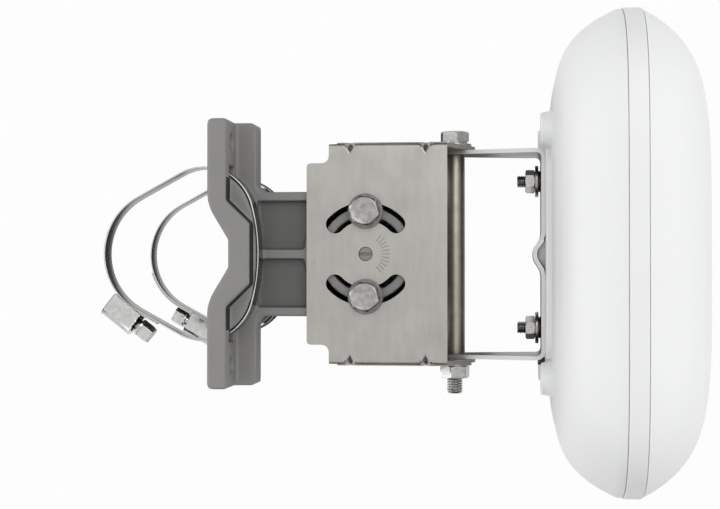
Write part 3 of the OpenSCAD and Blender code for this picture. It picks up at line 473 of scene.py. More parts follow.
def band_steel():
    """Spring steel of a clamp band: polish lines, slanted worm slots along its middle, and a painted
    highlight on its edges.
    """
    f = Finish("band_steel", Metallic=1.0)
    u, v, _ = f.split(f.node("ShaderNodeUVMap", {"uv_map": "along"}))
    polish = f.noise(1.0, 3, 0.6, f.stretched((260, 260, 2600)))
    slant = abs((u + v * 0.25) % WORM_PITCH - WORM_PITCH / 2)
    slot = f.between(slant, 0.45, 0.62, 1, 0) * f.between(abs(v), 3.3, 3.6, 1, 0)
    bare = f.mix(polish, grey(0.15, 0.01), grey(0.28, 0.01))
    f.set(Base_Color=f.mix(slot, bare, grey(0.11, 0.02)))
    # Painted highlight: the band's edges are coloured bright.
    f.tint(f.cut_edges(0.4, 0.7), grey(0.6, 0.01))
    f.set(Roughness=f.between(polish, 0.2, 0.8, 0.2, 0.32) + slot * 0.25)
    f.set(Normal=f.bump(1 - slot + polish * 0.04, 0.00025, 0.8))
    return f


def sleeve_steel():
    """Drawn tube: brownish steel with fine rings round it and a faint bloom."""
    f = Finish("sleeve_tube", Metallic=1.0)
    rings = f.noise(1.0, 3, 0.6, f.stretched((60, 1500, 60)))
    bloom = f.noise(120, 3)
    f.set(Base_Color=f.mix(f.between(bloom, 0.3, 0.7), (0.4, 0.36, 0.3, 1), (0.49, 0.445, 0.375, 1)))
    f.set(Roughness=f.between(rings, 0.25, 0.75, 0.36, 0.48))
    f.set(Normal=f.bump(rings, 0.00003, 0.5))
    return f


def plastic(name, colour, darker, rough, texture=2600, depth=0.00004):
    """Moulded plastic: fine spark texture, and slow changes of shade and gloss."""
    f = Finish(name, Specular_IOR_Level=0.45)
    spark = f.noise(texture, 2)
    slow = f.noise(14, 3)
    fade = f.between(slow, 0.3, 0.7) * 0.5 + f.between(spark, 0.4, 0.8) * 0.3
    f.set(Base_Color=f.mix(fade, colour, darker))
    f.set(Roughness=f.between(slow + spark * 0.3, 0.4, 0.9, rough - 0.04, rough + 0.06))
    f.set(Normal=f.bump(spark, depth, 0.4))
    return f


def board_finish():
    """Circuit board: green mask over paler tracks on a square pattern."""
    f = Finish("board_mask", Specular_IOR_Level=0.5)
    cells = f.node("ShaderNodeTexBrick", {"offset": 0.5}, {
        "Vector": f.node("ShaderNodeMapping", None, {"Vector": f.place, "Rotation": (0, np.pi / 2, 0)}),
        "Scale": 160.0, "Mortar Size": 0.03, "Color1": (0.012, 0.085, 0.035, 1),
        "Color2": (0.016, 0.1, 0.042, 1), "Mortar": (0.05, 0.2, 0.09, 1)})
    cloud = f.noise(220, 2)
    f.set(Base_Color=cells, Roughness=f.between(cloud, 0.3, 0.7, 0.3, 0.45))
    return f


CAST = cast_coat()
SWIVEL_SHEET = swivel_sheet()
TILT_SHEET = tilt_sheet()
BOLT_STEEL = fastener_steel("bolt_steel", 0.28, 0.43, 0.22)
BRIGHT_STEEL = fastener_steel("bright_steel", 0.4, 0.56, 0.17)
# Painted shade: the swivel washers are coloured dark to stand in for the contact shadow round the bolt
# heads.
WASHER_STEEL_PAINTED_SHADE = fastener_steel("washer_steel", 0.13, 0.22, 0.24)
CLAMP_STEEL = fastener_steel("clamp_steel", 0.48, 0.62, 0.13, 0.005)
DARK_STEEL = fastener_steel("dark_steel", 0.05, 0.1, 0.4)
BAND_STEEL = band_steel()
SLEEVE = sleeve_steel()
WHITE_PLASTIC = plastic("white_shell", (0.84, 0.845, 0.845, 1), (0.82, 0.825, 0.825, 1), 0.42)
WHITE_METAL = plastic("white_coat", (0.83, 0.835, 0.84, 1), (0.81, 0.815, 0.82, 1), 0.46, 1500, 0.00007)
RUBBER = plastic("seal_rubber", (0.02, 0.02, 0.021, 1), (0.035, 0.035, 0.035, 1), 0.62, 900, 0.00008)
THERMAL = plastic("thermal_pad", (0.26, 0.36, 0.46, 1), (0.22, 0.31, 0.41, 1), 0.7, 700, 0.0001)
BLACK_PLASTIC = plastic("black_plastic", (0.022, 0.022, 0.023, 1), (0.036, 0.036, 0.037, 1), 0.42)
DARK_PLASTIC = plastic("dark_plastic", (0.075, 0.075, 0.077, 1), (0.1, 0.1, 0.1, 1), 0.45)
GREY_PLASTIC = plastic("grey_plastic", (0.66, 0.67, 0.675, 1), (0.62, 0.63, 0.635, 1), 0.45)
ALUMINIUM = fastener_steel("bare_aluminium", 0.62, 0.74, 0.36, 0.0)
COPPER = fastener_steel("copper_foil", 0.5, 0.6, 0.32, 0.22)
BRASS = fastener_steel("ground_brass", 0.5, 0.6, 0.3, 0.16)
BOARD = board_finish()


# Pieces

def shape_mesh(name, shape):
    """A mesh from a shape's millimetre points."""
    points, faces = shape
    mesh = bpy.data.meshes.new(name)
    mesh.from_pydata((points * MM).tolist(), [], faces)
    return mesh


def add_object(name, data):
    """An object at the scene's origin."""
    obj = bpy.data.objects.new(name, data)
    bpy.context.scene.collection.objects.link(obj)
    return obj


def weld(mesh):
    """Neighbouring points are merged and all faces look outwards."""
    work = bmesh.new()
    work.from_mesh(mesh)
    bmesh.ops.remove_doubles(work, verts=work.verts, dist=1e-6)
    bmesh.ops.dissolve_degenerate(work, edges=work.edges, dist=1e-7)
    bmesh.ops.recalc_face_normals(work, faces=work.faces)
    work.to_mesh(mesh)
    work.free()


def modify(obj, kind, **settings):
    """A modifier of this kind, with its settings."""
    modifier = obj.modifiers.new(kind.lower(), kind)
    for name, value in settings.items():
        setattr(modifier, name, value)


def dress(obj, body, finish, slot, *nodes):
    """The object gets its finish, rides on its body and takes the place of its CAD nodes. The slot is not
    used.
    """
    obj.data.materials.append(finish.material)
    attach(obj, body)
    if nodes:
        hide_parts(*nodes)


def piece(name, shape, body, finish, slot, *nodes, sharp=32.0, solid=0.0, bevel=0.0, uv=None):
    """A finished piece: seams and poles merged, faces outwards, edges sharp past an angle."""
    mesh = shape_mesh(name, shape)
    if uv is not None:
        layer = mesh.uv_layers.new(name="along")
        corner = np.empty(len(mesh.loops), int)
        mesh.loops.foreach_get("vertex_index", corner)
        layer.data.foreach_set("uv", uv[corner].astype(float).ravel())
    weld(mesh)
    mesh.shade_smooth()
    mesh.set_sharp_from_angle(angle=np.radians(sharp))
    obj = add_object(name, mesh)
    if solid:
        modify(obj, "SOLIDIFY", thickness=solid * MM, offset=0.0)
    if bevel:
        modify(obj, "BEVEL", width=bevel * MM, segments=2, limit_method="ANGLE",
               angle_limit=np.radians(50), harden_normals=True)
    dress(obj, body, finish, slot, *nodes)


CHAMFER = np.tan(np.radians(30))
HEX = np.cos(np.pi / 6)


def hex_head(flats, height):
    """A hexagon whose top corners are turned off by a cone, over a thin round bearing face."""
    base, dish = 0.35, height - 0.25
    corner = flats / 2 / HEX * 1.02
    crown = flats / 2 * 0.95
    out = (corner - crown) * np.linspace(0, 1, 7)
    cone = np.stack([crown + out, height - out * CHAMFER], 1)
    top = [(0, dish), (crown * 0.6, dish), (crown - 0.5, height - 0.1), (crown - 0.2, height)]
    profile = [(0, 0), (crown, 0), (crown, base), (corner, base), *cone[::-1], *top[::-1]]
    return revolve(profile, 120, flats)


def nut(flats, height, hole, sink=0.5):
    """A hexagon with both ends turned off by cones, round a threaded hole with a countersink."""
    corner = flats / 2 / HEX * 1.02
    crown = flats / 2 * 0.96
    out = (corner - crown) * np.linspace(0, 1, 6)
    low = np.stack([crown + out, out * CHAMFER], 1)
    high = np.stack([crown + out, height - out * CHAMFER], 1)
    bore = [(hole + sink, height), (hole, height - sink), (hole, sink)]
    return revolve([(hole + sink, 0), *low, *high[::-1], *bore], 120, flats, ring=True)


def washer(outer, hole, height, edge=0.25):
    """A flat ring with rounded outer and inner edges."""
    return revolve(round_corners(rectangle(hole, 0, outer, height), edge, 4), 72, ring=True)


def spring_washer(outer, hole, height, rise=0.35):
    """A square-edged ring that is slit once and climbs a little from one end of the slit to the other."""
    slit = 8.0
    section = round_corners(rectangle(hole, 0, outer, height - rise), 0.2, 3)
    a = np.radians(np.linspace(slit / 2, 360 - slit / 2, 73))[:, None]
    return skin(polar(section[:, 0], a, section[:, 1] + rise * a / TURN))


def rod(radius, low, high, edge=0.3):
    """A round bar with rounded ends."""
    return revolve(round_corners(rectangle(0, low, radius, high), edge, 4, closed=False), 56)


# Pole bracket

def evaluated(obj):
    """The object's mesh with its modifiers, which takes the object's place."""
    mesh = bpy.data.meshes.new_from_object(obj.evaluated_get(bpy.context.evaluated_depsgraph_get()))
    bpy.data.objects.remove(obj)
    return mesh


def saddle_envelope():
    """Outline of the casting across the pole with its corners rounded, carried along Z."""
    far = SADDLE_HIGH[0] + 5
    end = SADDLE_HIGH[1]
    outline = [(FACE_X, -end), (far, -end), (far, end), (FACE_X, end), (FACE_X, VEE_Y), (VEE_X, VEE_FLOOR_Y),
               (VEE_X, -VEE_FLOOR_Y), (FACE_X, -VEE_Y)]
    rounded = round_corners(outline, [3.0, 0, 0, 3.0, 6.0, 0, 0, 6.0], 9)
    return prism(rounded, SADDLE_LOW[2] - 1, SADDLE_HIGH[2] + 1, 0.1)


def arm_fillets():
    """Concave fillets between the arm's sides and the saddle's back."""
    r = 4.0
    bow = arc(r, 270, 180, 10) + (ROOT_X + r, ARM_HALF + r)
    heel = [(ROOT_X - 2, ARM_HALF + r), (ROOT_X - 2, ARM_HALF - 2), (ROOT_X + r, ARM_HALF - 2)]
    one = prism(np.concatenate([heel, bow]), LIP_LOW, ARM_TOP - 0.4, 0.1)
    return [one, mirrored(one)]


def cast_saddle():
    """Skin of the casting: the solid's faces, with rounded corners and added fillets, carried through a fine
    volume grid that rounds every edge as a casting's edges are."""
    copy = bpy.data.meshes.new("saddle_solid")
    work = bmesh.new()
    work.from_mesh(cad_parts["pole_saddle"].data)
    bmesh.ops.remove_doubles(work, verts=work.verts, dist=1e-6)
    work.to_mesh(copy)
    work.free()
    obj = add_object("saddle_solid", copy)
    envelope = add_object("envelope", shape_mesh("envelope", saddle_envelope()))
    modify(obj, "BOOLEAN", operation="INTERSECT", solver="EXACT", object=envelope)
    body = evaluated(obj)
    bpy.data.objects.remove(envelope)
    points = np.empty(len(body.vertices) * 3)
    body.vertices.foreach_get("co", points)
    solid = points.reshape(-1, 3) / MM, [list(face.vertices) for face in body.polygons]
    obj = add_object("casting", shape_mesh("casting", join(solid, *arm_fillets())))
    modify(obj, "REMESH", mode="VOXEL", voxel_size=0.7 * MM)
    modify(obj, "SMOOTH", factor=0.5, iterations=5)
    modify(obj, "DECIMATE", ratio=0.4)
    made = evaluated(obj)
    made.name = "saddle_casting"
    made.materials.clear()
    made.shade_smooth()
    dress(add_object("saddle_casting", made), "pole_bracket", CAST, "cast_grey", "pole_saddle")


cast_saddle()

POLE_R = 30.05
BAND_R = POLE_R + BAND_T / 2
BACK_C = -46.0
BACK_GAP = 0.9
BACK_R = np.hypot(VEE_BACK_X - BACK_C, VEE_BACK_Y) + BACK_GAP + BAND_T / 2
BEND_R = 24.0
BEND_Y = 41.0 - BEND_R
BACK_A = np.degrees(np.arcsin(BEND_Y / (BACK_R - BEND_R)))
BEND_X = BACK_C + (BACK_R - BEND_R) * np.cos(np.radians(BACK_A))
LEAVE_A = np.degrees(np.arctan2(BEND_Y, BEND_X) + np.arccos((BAND_R - BEND_R) / np.hypot(BEND_X, BEND_Y)))
UPPER_AT = 232.0
LOWER_AT = 16.0
TAIL_LIFT = 0.85
PLAIN_BAND = 20.0


def band_path():
    """Middle line of a band across the pole: back arc, bend, straight and half of the pole arc."""
    back = arc(BACK_R, 0, BACK_A, 14) + (BACK_C, 0)
    bend = arc(BEND_R, BACK_A, LEAVE_A, 26) + (BEND_X, BEND_Y)
    pole = arc(BAND_R, LEAVE_A, 180, 22)
    half = np.concatenate([back, bend[1:], pole])
    return np.concatenate([half, (half * (1, -1))[-2:0:-1]])


def strip(path, level, thick, wide, closed):
    """A flat band with rounded edges carried along a path, and its length and width as a map."""
    ahead = unit(np.roll(path, -1, 0) - np.roll(path, 1, 0) if closed else np.gradient(path, axis=0))
    out = np.stack([ahead[:, 1], -ahead[:, 0]], 1)
    section = round_corners(rectangle(-thick / 2, -wide / 2, thick / 2, wide / 2), thick * 0.4, 4)
    flat = path[:, None, :] + out[:, None, :] * section[None, :, :1]
    high = np.broadcast_to(level + section[None, :, 1:], flat.shape[:2] + (1,))
    step = np.linalg.norm(path - np.roll(path, 1, 0), axis=1)
    step[0] = 0
    along = np.broadcast_to(np.cumsum(step)[:, None], flat.shape[:2])
    across = np.broadcast_to(section[None, :, 1], flat.shape[:2])
    shape = skin(np.concatenate([flat, high], -1), wrap_rows=closed)
    return shape, np.stack([along, across], -1).reshape(-1, 2)


def lower_straight(along, lift=0.0):
    """A point on the band's lower straight, at a distance from the pole arc and lifted off the band."""
    a = np.radians(-LEAVE_A)
    r = BAND_R + lift
    return np.stack([r * np.cos(a) - along * np.sin(a), r * np.sin(a) + along * np.cos(a)], -1)


def clamp_band(name, level, tail, node):
    """One closed loop of band with its free end lying on top of it."""
    loop, loop_map = strip(band_path(), level, BAND_T, BAND_W, True)
    end, end_map = strip(tail, level, BAND_T, BAND_W - 0.1, False)
    plain = loop_map + (0, PLAIN_BAND)
    piece(name, join(loop, end), "pole_bracket", BAND_STEEL, "stainless", node,
          uv=np.concatenate([plain, end_map]))


def tail_path(first, along):
    """The free end: from an angle on the pole arc, round to the straight, and along it."""
    on_arc = arc(BAND_R + TAIL_LIFT, first, 360 - LEAVE_A, 24)
    on_straight = lower_straight(np.linspace(0, along, 8)[1:], TAIL_LIFT)
    return np.concatenate([on_arc, on_straight])


clamp_band("clamp_band_near", BAND_Z, tail_path(UPPER_AT - 14, 11.6), "clamp_band_upper")
clamp_band("clamp_band_far", -BAND_Z, tail_path(360 - LEAVE_A - 44, LOWER_AT + 5.5), "clamp_band_lower")

WORM_R = 4.5
WORM_AXIS = BAND_T * 1.5 + 0.2 + WORM_R
HOUSE_L = 16.0


def worm_housing():
    """Formed steel saddle over the worm: an arch on two feet, of even wall, carried along the band."""
    half = BAND_W / 2 + 1.2
    crown = WORM_AXIS + WORM_R + 1.5
    outer = round_corners([(0.1, -half), (crown - 2.2, -half), (crown, -4.2), (crown, 4.2),
                           (crown - 2.2, half), (0.1, half)], [0.3, 2.5, 2.5, 2.5, 2.5, 0.3], 7)
    inner_half = BAND_W / 2 + 0.32
    top = WORM_AXIS + WORM_R + 0.25
    inner = round_corners([(0.1, -inner_half), (WORM_AXIS, -inner_half), (top, -2.6), (top, 2.6),
                           (WORM_AXIS, inner_half), (0.1, inner_half)], [0, 2.6, 2.6, 2.6, 2.6, 0], 7)
    section = np.concatenate([outer, inner[::-1]])
    return prism(section[::-1], -HOUSE_L / 2, HOUSE_L / 2, 0.35)


def half_hex(flats, gap):
    """Half of a hexagon beside a slot of half width gap."""
    r = flats / 2 / HEX
    side = r * np.sqrt(3) / 2
    cut = r - gap / np.tan(np.radians(60))
    return round_corners([(-cut, gap), (cut, gap), (r / 2, side), (-r / 2, side)], 0.25, 4)


def worm_screw():
    """Clamp screw along Z: the worm in its housing, a neck, a round flange and a slotted hexagon head."""
    neck_top = HOUSE_L / 2 + 3.4
    flats = WORM_R * 2 * 0.85
    head_top = neck_top + 6.0
    floor = head_top - 1.5
    neck = [(0, HOUSE_L / 2 - 2.4), (3.15, HOUSE_L / 2 - 2.2), (3.15, neck_top - 1.4), (4.4, neck_top - 1.4),
            (4.4, neck_top), (0, neck_top)]
    body = revolve(round_corners(neck, 0.25, 4, closed=False), 64)
    hexagon = round_corners(arc(flats / 2 / HEX, 0, 300, 6), 0.3, 4)
    base = prism(hexagon, neck_top - 0.3, floor, 0.05)
    top = both_halves(prism(half_hex(flats, 0.6), floor - 0.3, head_top, 0.45))
    worm = thread(WORM_R - 0.1, WORM_PITCH, 1.0, -HOUSE_L / 2 + 0.2, HOUSE_L / 2 - 2.0)
    return join(worm, body, base, top)


UPPER_OUT = heading(UPPER_AT)
LOWER_OUT = heading(-LEAVE_A)
UPPER_ALONG = np.cross(Z, UPPER_OUT)
LOWER_ALONG = np.cross(Z, LOWER_OUT)
UPPER_AXIS = UPPER_OUT * (BAND_R + WORM_AXIS) + Z * BAND_Z
LOWER_AXIS = np.append(lower_straight(np.float64(LOWER_AT), WORM_AXIS), -BAND_Z)

piece("worm_housing_near", lay(worm_housing(), UPPER_AXIS - UPPER_OUT * WORM_AXIS, UPPER_ALONG, UPPER_OUT),
      "pole_bracket", CLAMP_STEEL, "stainless", "clamp_housing_upper")
piece("worm_housing_far", lay(worm_housing(), LOWER_AXIS - LOWER_OUT * WORM_AXIS, LOWER_ALONG, LOWER_OUT),
      "pole_bracket", CLAMP_STEEL, "stainless", "clamp_housing_lower")
piece("worm_screw_near", lay(worm_screw(), UPPER_AXIS, UPPER_ALONG, UPPER_OUT),
      "clamp_screw_upper", CLAMP_STEEL, "screw_steel", "clamp_screw_upper")
piece("worm_screw_far", lay(worm_screw(), LOWER_AXIS, -LOWER_ALONG, LOWER_OUT),
      "clamp_screw_lower", CLAMP_STEEL, "screw_steel", "clamp_screw_lower")


# Swivel

BOLT_R = 4.0
SLOT_R = 20.4
SLOT_W = 8.8
SLOT_A = 46.0
FLAT_T = 1.6
SPRING_T = 1.9
HEAD_H = 5.28
HEAD_AF = 13.0
NUT_H = 6.4
BOLT_HOLE = 4.05
SHANK_L = 17.1
FLAT_GAP = 0.15
FLAT_R = 8.4
SPRING_R = 6.4
TILT_SPIN = 0.21
M8_PITCH, M6_PITCH = 1.25, 1.0


def swivel_sheet_shape():
    """The swivel bracket's middle surface: a flat blank with arc slots, bent down on both sides. Along the
    bend the sheet follows a quarter circle, and each dart presses it back to a blunt wedge that lies across
    the corner. Below the bend, the rear edge steps forward to pass the arm as the bracket swings."""
    bend_r = 1.5
    flat_y = SIDE_Y - SHEET / 2 - bend_r
    bend_l = bend_r * np.pi / 2
    top_z = PLATE_TOP - SHEET / 2
    turn_z = top_z - bend_r

    def side_v(z):
        return flat_y + bend_l + turn_z - z

    back, front = BRACKET_LOW[0] - PIVOT_X, 39.0
    notch, swing = -17.7, -13.7
    reach = TILT_X - PIVOT_X
    tongue = 43.5
    pivot_hole = 3.4
    dart_at, dart_x, dart_v = (-7.5, 28.7), np.linspace(-3.2, 3.2, 33), np.linspace(-6.2, 6.2, 49)
    ear = arc(EAR_R, -90, 38, 16)
    ear = np.stack([ear[:, 0] + reach, side_v(ear[:, 1])], 1)
    half = np.concatenate([
        [(back, tongue), (notch, tongue), (notch, flat_y + bend_l * 0.42), (swing, flat_y + bend_l * 0.48),
         (swing, side_v(28)), (-9, side_v(19)), (9, side_v(-EAR_R))],
        ear, [(front, side_v(31.2)), (front, flat_y)]])
    radii = np.concatenate([[2.2, 4.0, 0.1, 0.1, 4.0, 5.0, 12.0], np.zeros(len(ear)), [1.5, 0]])
    loop = np.concatenate([half, half[::-1] * (1, -1)])
    outline = round_corners(loop, np.concatenate([radii, radii[::-1]]), 7)[::-1]
    first, last = [SLOT_R * heading(90 + s * SLOT_A)[:2] for s in SIDES]
    slot = np.concatenate([
        arc(SLOT_R + SLOT_W / 2, 90 - SLOT_A, 90 + SLOT_A, 40),
        arc(SLOT_W / 2, 90 + SLOT_A, 270 + SLOT_A, 14)[1:-1] + last,
        arc(SLOT_R - SLOT_W / 2, 90 + SLOT_A, 90 - SLOT_A, 32),
        arc(SLOT_W / 2, 270 - SLOT_A, 450 - SLOT_A, 14)[1:-1] + first])
    bolt = arc(BOLT_R + 0.2, 0, 345, 24) + (reach, side_v(0.0))
    holes = [arc(pivot_hole, 0, 350, 36), slot, slot * (1, -1), bolt, bolt * (1, -1)]
    across = np.linspace(-31, 53, 43)
    rows = [np.stack([across, np.full(len(across), s * v)], 1)
            for s in SIDES for v in np.linspace(flat_y, flat_y + bend_l, 6)]
    corner_v = flat_y + bend_l / 2
    local = np.stack(np.meshgrid(dart_x, dart_v), -1).reshape(-1, 2)
    darts = [(x, s * corner_v) for x in dart_at for s in SIDES]
    flat, faces = blank(outline, holes, rows, np.concatenate([local + d for d in darts]))
    x, v = flat[:, 0], np.abs(flat[:, 1])
    side = np.where(flat[:, 1] < 0, -1.0, 1.0)
    bend = np.clip((v - flat_y) / bend_r, 0, np.pi / 2)
    y = np.minimum(v, flat_y) + bend_r * np.sin(bend)
    z = top_z - bend_r * (1 - np.cos(bend)) - np.maximum(v - flat_y - bend_l, 0)
    leg, blunt, slope = 4.9, 0.4, 1.8
    for at_x, at_v in darts:
        near = np.sign(at_v) == side
        wide = np.hypot(x - at_x, blunt) - blunt
        floor = SIDE_Y - SHEET / 2 + top_z - leg + wide * slope
        press = np.maximum(y + z - floor, 0) / 2 * near
        y -= press
        z -= press
    return np.stack([x + PIVOT_X, y * side, z], 1), faces


piece("swivel_plate", swivel_sheet_shape(), "swivel", SWIVEL_SHEET, "stainless", "swivel_bracket",
      solid=SHEET, bevel=0.22, sharp=40)


def at_each(shape, places, axis=Z, side=X):
    """The same shape at several places."""
    return join(*[lay(shape, place, axis, side) for place in places])


SWIVEL_BOLTS = [np.array([PIVOT_X, s * SLOT_R, PLATE_TOP]) for s in SIDES]
BOLT_SPIN = heading(15)
swivel_head = lay(hex_head(HEAD_AF, HEAD_H), Z * (FLAT_T + SPRING_T))
swivel_shank = rod(BOLT_R, -SHANK_L, FLAT_T + SPRING_T + 0.4)
piece("swivel_bolts", at_each(join(swivel_head, swivel_shank), SWIVEL_BOLTS, Z, BOLT_SPIN),
      "pole_bracket", BOLT_STEEL, "stainless", "swivel_bolts")
swivel_spring = lay(spring_washer(SPRING_R, BOLT_HOLE, SPRING_T), Z * FLAT_T)
piece("swivel_spring_washers", at_each(swivel_spring, SWIVEL_BOLTS),
      "pole_bracket", WASHER_STEEL_PAINTED_SHADE, "stainless", "swivel_spring_washers")
swivel_flat = lay(washer(FLAT_R, BOLT_HOLE, FLAT_T - FLAT_GAP), Z * FLAT_GAP)
piece("swivel_flat_washers", at_each(swivel_flat, SWIVEL_BOLTS),
      "pole_bracket", WASHER_STEEL_PAINTED_SHADE, "stainless", "swivel_flat_washers")


def pivot_pin():
    """Round pin with a chamfered top, split by the pointer line that is read against the engraved marks."""
    low, high = span("pivot_pin")
    radius = 3.2
    half = prism(round_corners(arc(radius, 8, 172, 30), 0.2, 3), high[2] - 1.0, high[2], 0.2)
    return lay(join(rod(radius, low[2], high[2] - 0.7), both_halves(half)), (PIVOT_X, 0, 0))


piece("pivot_pin", pivot_pin(), "pole_bracket", CAST, "cast_grey", "pivot_pin")


# Tilt

def tilt_bolt():
    """Long bolt along the tilt axis: chamfered head, plain shank and a threaded tip past the nut."""
    low, high = span("tilt_bolt")
    spin = (np.cos(TILT_SPIN), np.sin(TILT_SPIN), 0)
    head = lay(hex_head(HEAD_AF, HEAD_H), Z * (high[1] - HEAD_H), Z, spin)
    shank = rod(BOLT_R, -SIDE_Y, high[1] - HEAD_H + 0.4)
    tip = thread(BOLT_R, M8_PITCH, 0.55, SIDE_Y - 1, -low[1], count=48)
    tip = (tip[0] * (1, -1, -1), tip[1])
    return lay(join(head, shank, tip), (TILT_X, 0, 0), Y, X)


piece("tilt_bolt", tilt_bolt(), "swivel", BRIGHT_STEEL, "stainless", "tilt_bolt")
tilt_flats = [lay(washer(FLAT_R, BOLT_HOLE, FLAT_T), (TILT_X, s * SIDE_Y, 0), s * Y) for s in (1, -1)]
piece("tilt_flat_washers", join(*tilt_flats), "swivel", BOLT_STEEL, "stainless", "tilt_flat_washers")
tilt_spring = spring_washer(SPRING_R, BOLT_HOLE, SPRING_T / 2, 0.1)
piece("tilt_spring_washer", lay(tilt_spring, (TILT_X, SIDE_Y + FLAT_T, 0), Y),
      "swivel", BOLT_STEEL, "stainless", "tilt_spring_washer")
NUT_SPIN = (np.cos(TILT_SPIN), 0, np.sin(TILT_SPIN))
piece("tilt_nut", lay(nut(HEAD_AF, NUT_H, BOLT_HOLE), (TILT_X, -SIDE_Y - FLAT_T, 0), -Y, NUT_SPIN),
      "swivel", BRIGHT_STEEL, "stainless", "tilt_nut")
SLEEVE_END = span("tilt_sleeve")[1][1]
piece("tilt_sleeve", lay(washer(5.0, 4.2, 2 * SLEEVE_END, 0.2), (TILT_X, -SLEEVE_END, 0), Y),
      "radio", SLEEVE, "sleeve_steel", "tilt_sleeve")


def tilt_sheet_shape():
    """The tilt bracket's middle surface: a blank with a round ear at each end, carried along a U-shaped path
    that has rounded corners and a pressed ridge in the middle of its back."""
    ear_r = EAR_R - 0.6
    arm_y = TILT_OUTER - SHEET / 2
    back = RADIO_X - SHEET / 2
    bend, ridge, wide = 4.0, 4.0, 8.5
    start = TILT_X - ear_r - 1
    corners = [(start, arm_y), (back, arm_y), (back, wide), (back - ridge, wide / 4),
               (back - ridge, -wide / 4), (back, -wide), (back, -arm_y), (start, -arm_y)]
    path = round_corners(corners, [0, bend, 3.0, 2.0, 2.0, 3.0, bend, 0], 12, closed=False)
    at = np.concatenate([[0], np.cumsum(np.linalg.norm(np.diff(path, axis=0), axis=1))])
    total = at[-1]
    eye = TILT_X - start
    knee = RADIO_X - SHEET - 6 - start
    ear = arc(ear_r, 90, 270, 24) + (eye, 0)
    half = np.concatenate([[(total / 2, TILT_HALF), (knee, TILT_HALF)], ear,
                           [(knee, -TILT_HALF), (total / 2, -TILT_HALF)]])
    far = np.stack([total - half[::-1, 0], half[::-1, 1]], 1)
    loop = np.concatenate([half, far])
    radii = np.concatenate([[0, 5], np.zeros(len(ear)), [5, 0]])
    outline = round_corners(loop, np.concatenate([radii, radii]), 6)
    bolt = arc(BOLT_R + 0.2, 0, 345, 24) + (eye, 0)
    stud = arc(3.2, 0, 345, 24)
    mark = at[np.searchsorted(-path[:, 1], -(arm_y - bend))]
    stud_u = mark + (arm_y - bend - STUD_Y)
    holes = [bolt, bolt * (-1, 1) + (total, 0), stud + (stud_u, 0), stud * (-1, 1) + (total - stud_u, 0)]
    turning = at[(at > knee) & (at < total - knee)]
    rows = [np.stack([np.full(9, u), np.linspace(-30, 30, 9)], 1) for u in turning]
    flat, faces = blank(outline, holes, rows)
    x = np.interp(flat[:, 0], at, path[:, 0])
    y = np.interp(flat[:, 0], at, path[:, 1])
    return np.stack([x, y, flat[:, 1]], 1), faces


piece("tilt_plate", tilt_sheet_shape(), "radio", TILT_SHEET, "stainless", "tilt_bracket",
      solid=SHEET, bevel=0.22, sharp=40)

PLATE_X = RADIO_X - SHEET
STUDS = [np.array([PLATE_X, s * STUD_Y, 0]) for s in SIDES]
STUD_LOW, STUD_HIGH = span("bracket_studs")
STUD_R, STUD_HOLE = 3.0, 3.05
STUD_SPRING_T, STUD_FLAT_T = 1.2, 1.6
STUD_NUT_AF, STUD_NUT_H = 10.0, 4.8
stud_shape = join(thread(STUD_R, M6_PITCH, 0.45, -STUD_R, PLATE_X - STUD_LOW[0], count=40, taper=0.9),
                  rod(STUD_R - 0.05, PLATE_X - STUD_HIGH[0], 0.5))
piece("bracket_studs", at_each(stud_shape, STUDS, -X, Y), "radio", BOLT_STEEL, "stainless", "bracket_studs")
piece("bracket_spring_washers", at_each(spring_washer(5.25, STUD_HOLE, STUD_SPRING_T, 0.2), STUDS, -X, Y),
      "radio", DARK_STEEL, "screw_steel", "bracket_spring_washers")
stud_flat = lay(washer(7.8, STUD_HOLE, STUD_FLAT_T), Z * STUD_SPRING_T)
piece("bracket_flat_washers", at_each(stud_flat, STUDS, -X, Y),
      "radio", BOLT_STEEL, "stainless", "bracket_flat_washers")
piece("bracket_stop", lay(rod(2.0, 0, 3.6, 0.5), (RADIO_X, -TILT_OUTER - 1.4, 0), -X, Y),
      "radio", DARK_STEEL, "screw_steel")
stud_nut = lay(nut(STUD_NUT_AF, STUD_NUT_H, STUD_HOLE), Z * (STUD_SPRING_T + STUD_FLAT_T))
piece("bracket_nuts", at_each(stud_nut, STUDS, -X, Z),
      "radio", BRIGHT_STEEL, "stainless", "bracket_nuts")


# Radio

CORNER_POWER = 4.4
SHELL_HALF = RADIO_HALF - 0.6
SHELL_T = 3.0
RING_N = 192
RIM = 2.0
BACK_X = REAR_X - 1.6


def square_rings(rows):
    """Rings (x, half width) of a rounded square: |y|^p + |z|^p = half^p, with p the corner power, evenly
    spaced by angle."""
    a = np.arange(RING_N) * TURN / RING_N
    r = (np.abs(np.cos(a)) ** CORNER_POWER + np.abs(np.sin(a)) ** CORNER_POWER) ** (-1 / CORNER_POWER)
    rows = np.asarray(rows, float)
    half = rows[:, 1:] * r[None, :]
    return np.stack([np.broadcast_to(rows[:, :1], half.shape), half * np.cos(a), half * np.sin(a)], -1)


def front_x(s):
    """The dome's depth: an even square-law dome, and a steep eighth-power fall at the rim."""
    dome = 8.4
    return APEX_X - dome * s ** 2 - (APEX_X - FRONT_X - dome) * s ** 8


def rear_x(s):
    """The rear shell: flat in the middle, with a steep power-law rise to a straight rim at the seam."""
    return BACK_X + (SEAM_X - RIM - BACK_X) * s ** 9.7


def front_radome():
    """Domed shell with an even wall."""
    s = np.sin(np.linspace(0, np.pi / 2, 44)) ** 0.8
    outer = np.stack([front_x(s), s * SHELL_HALF], 1)
    inner = np.stack([front_x(s) - SHELL_T * (1 - s ** 6), s * (SHELL_HALF - SHELL_T)], 1)
    return skin(square_rings(np.concatenate([outer, inner[::-1]])), caps=False)


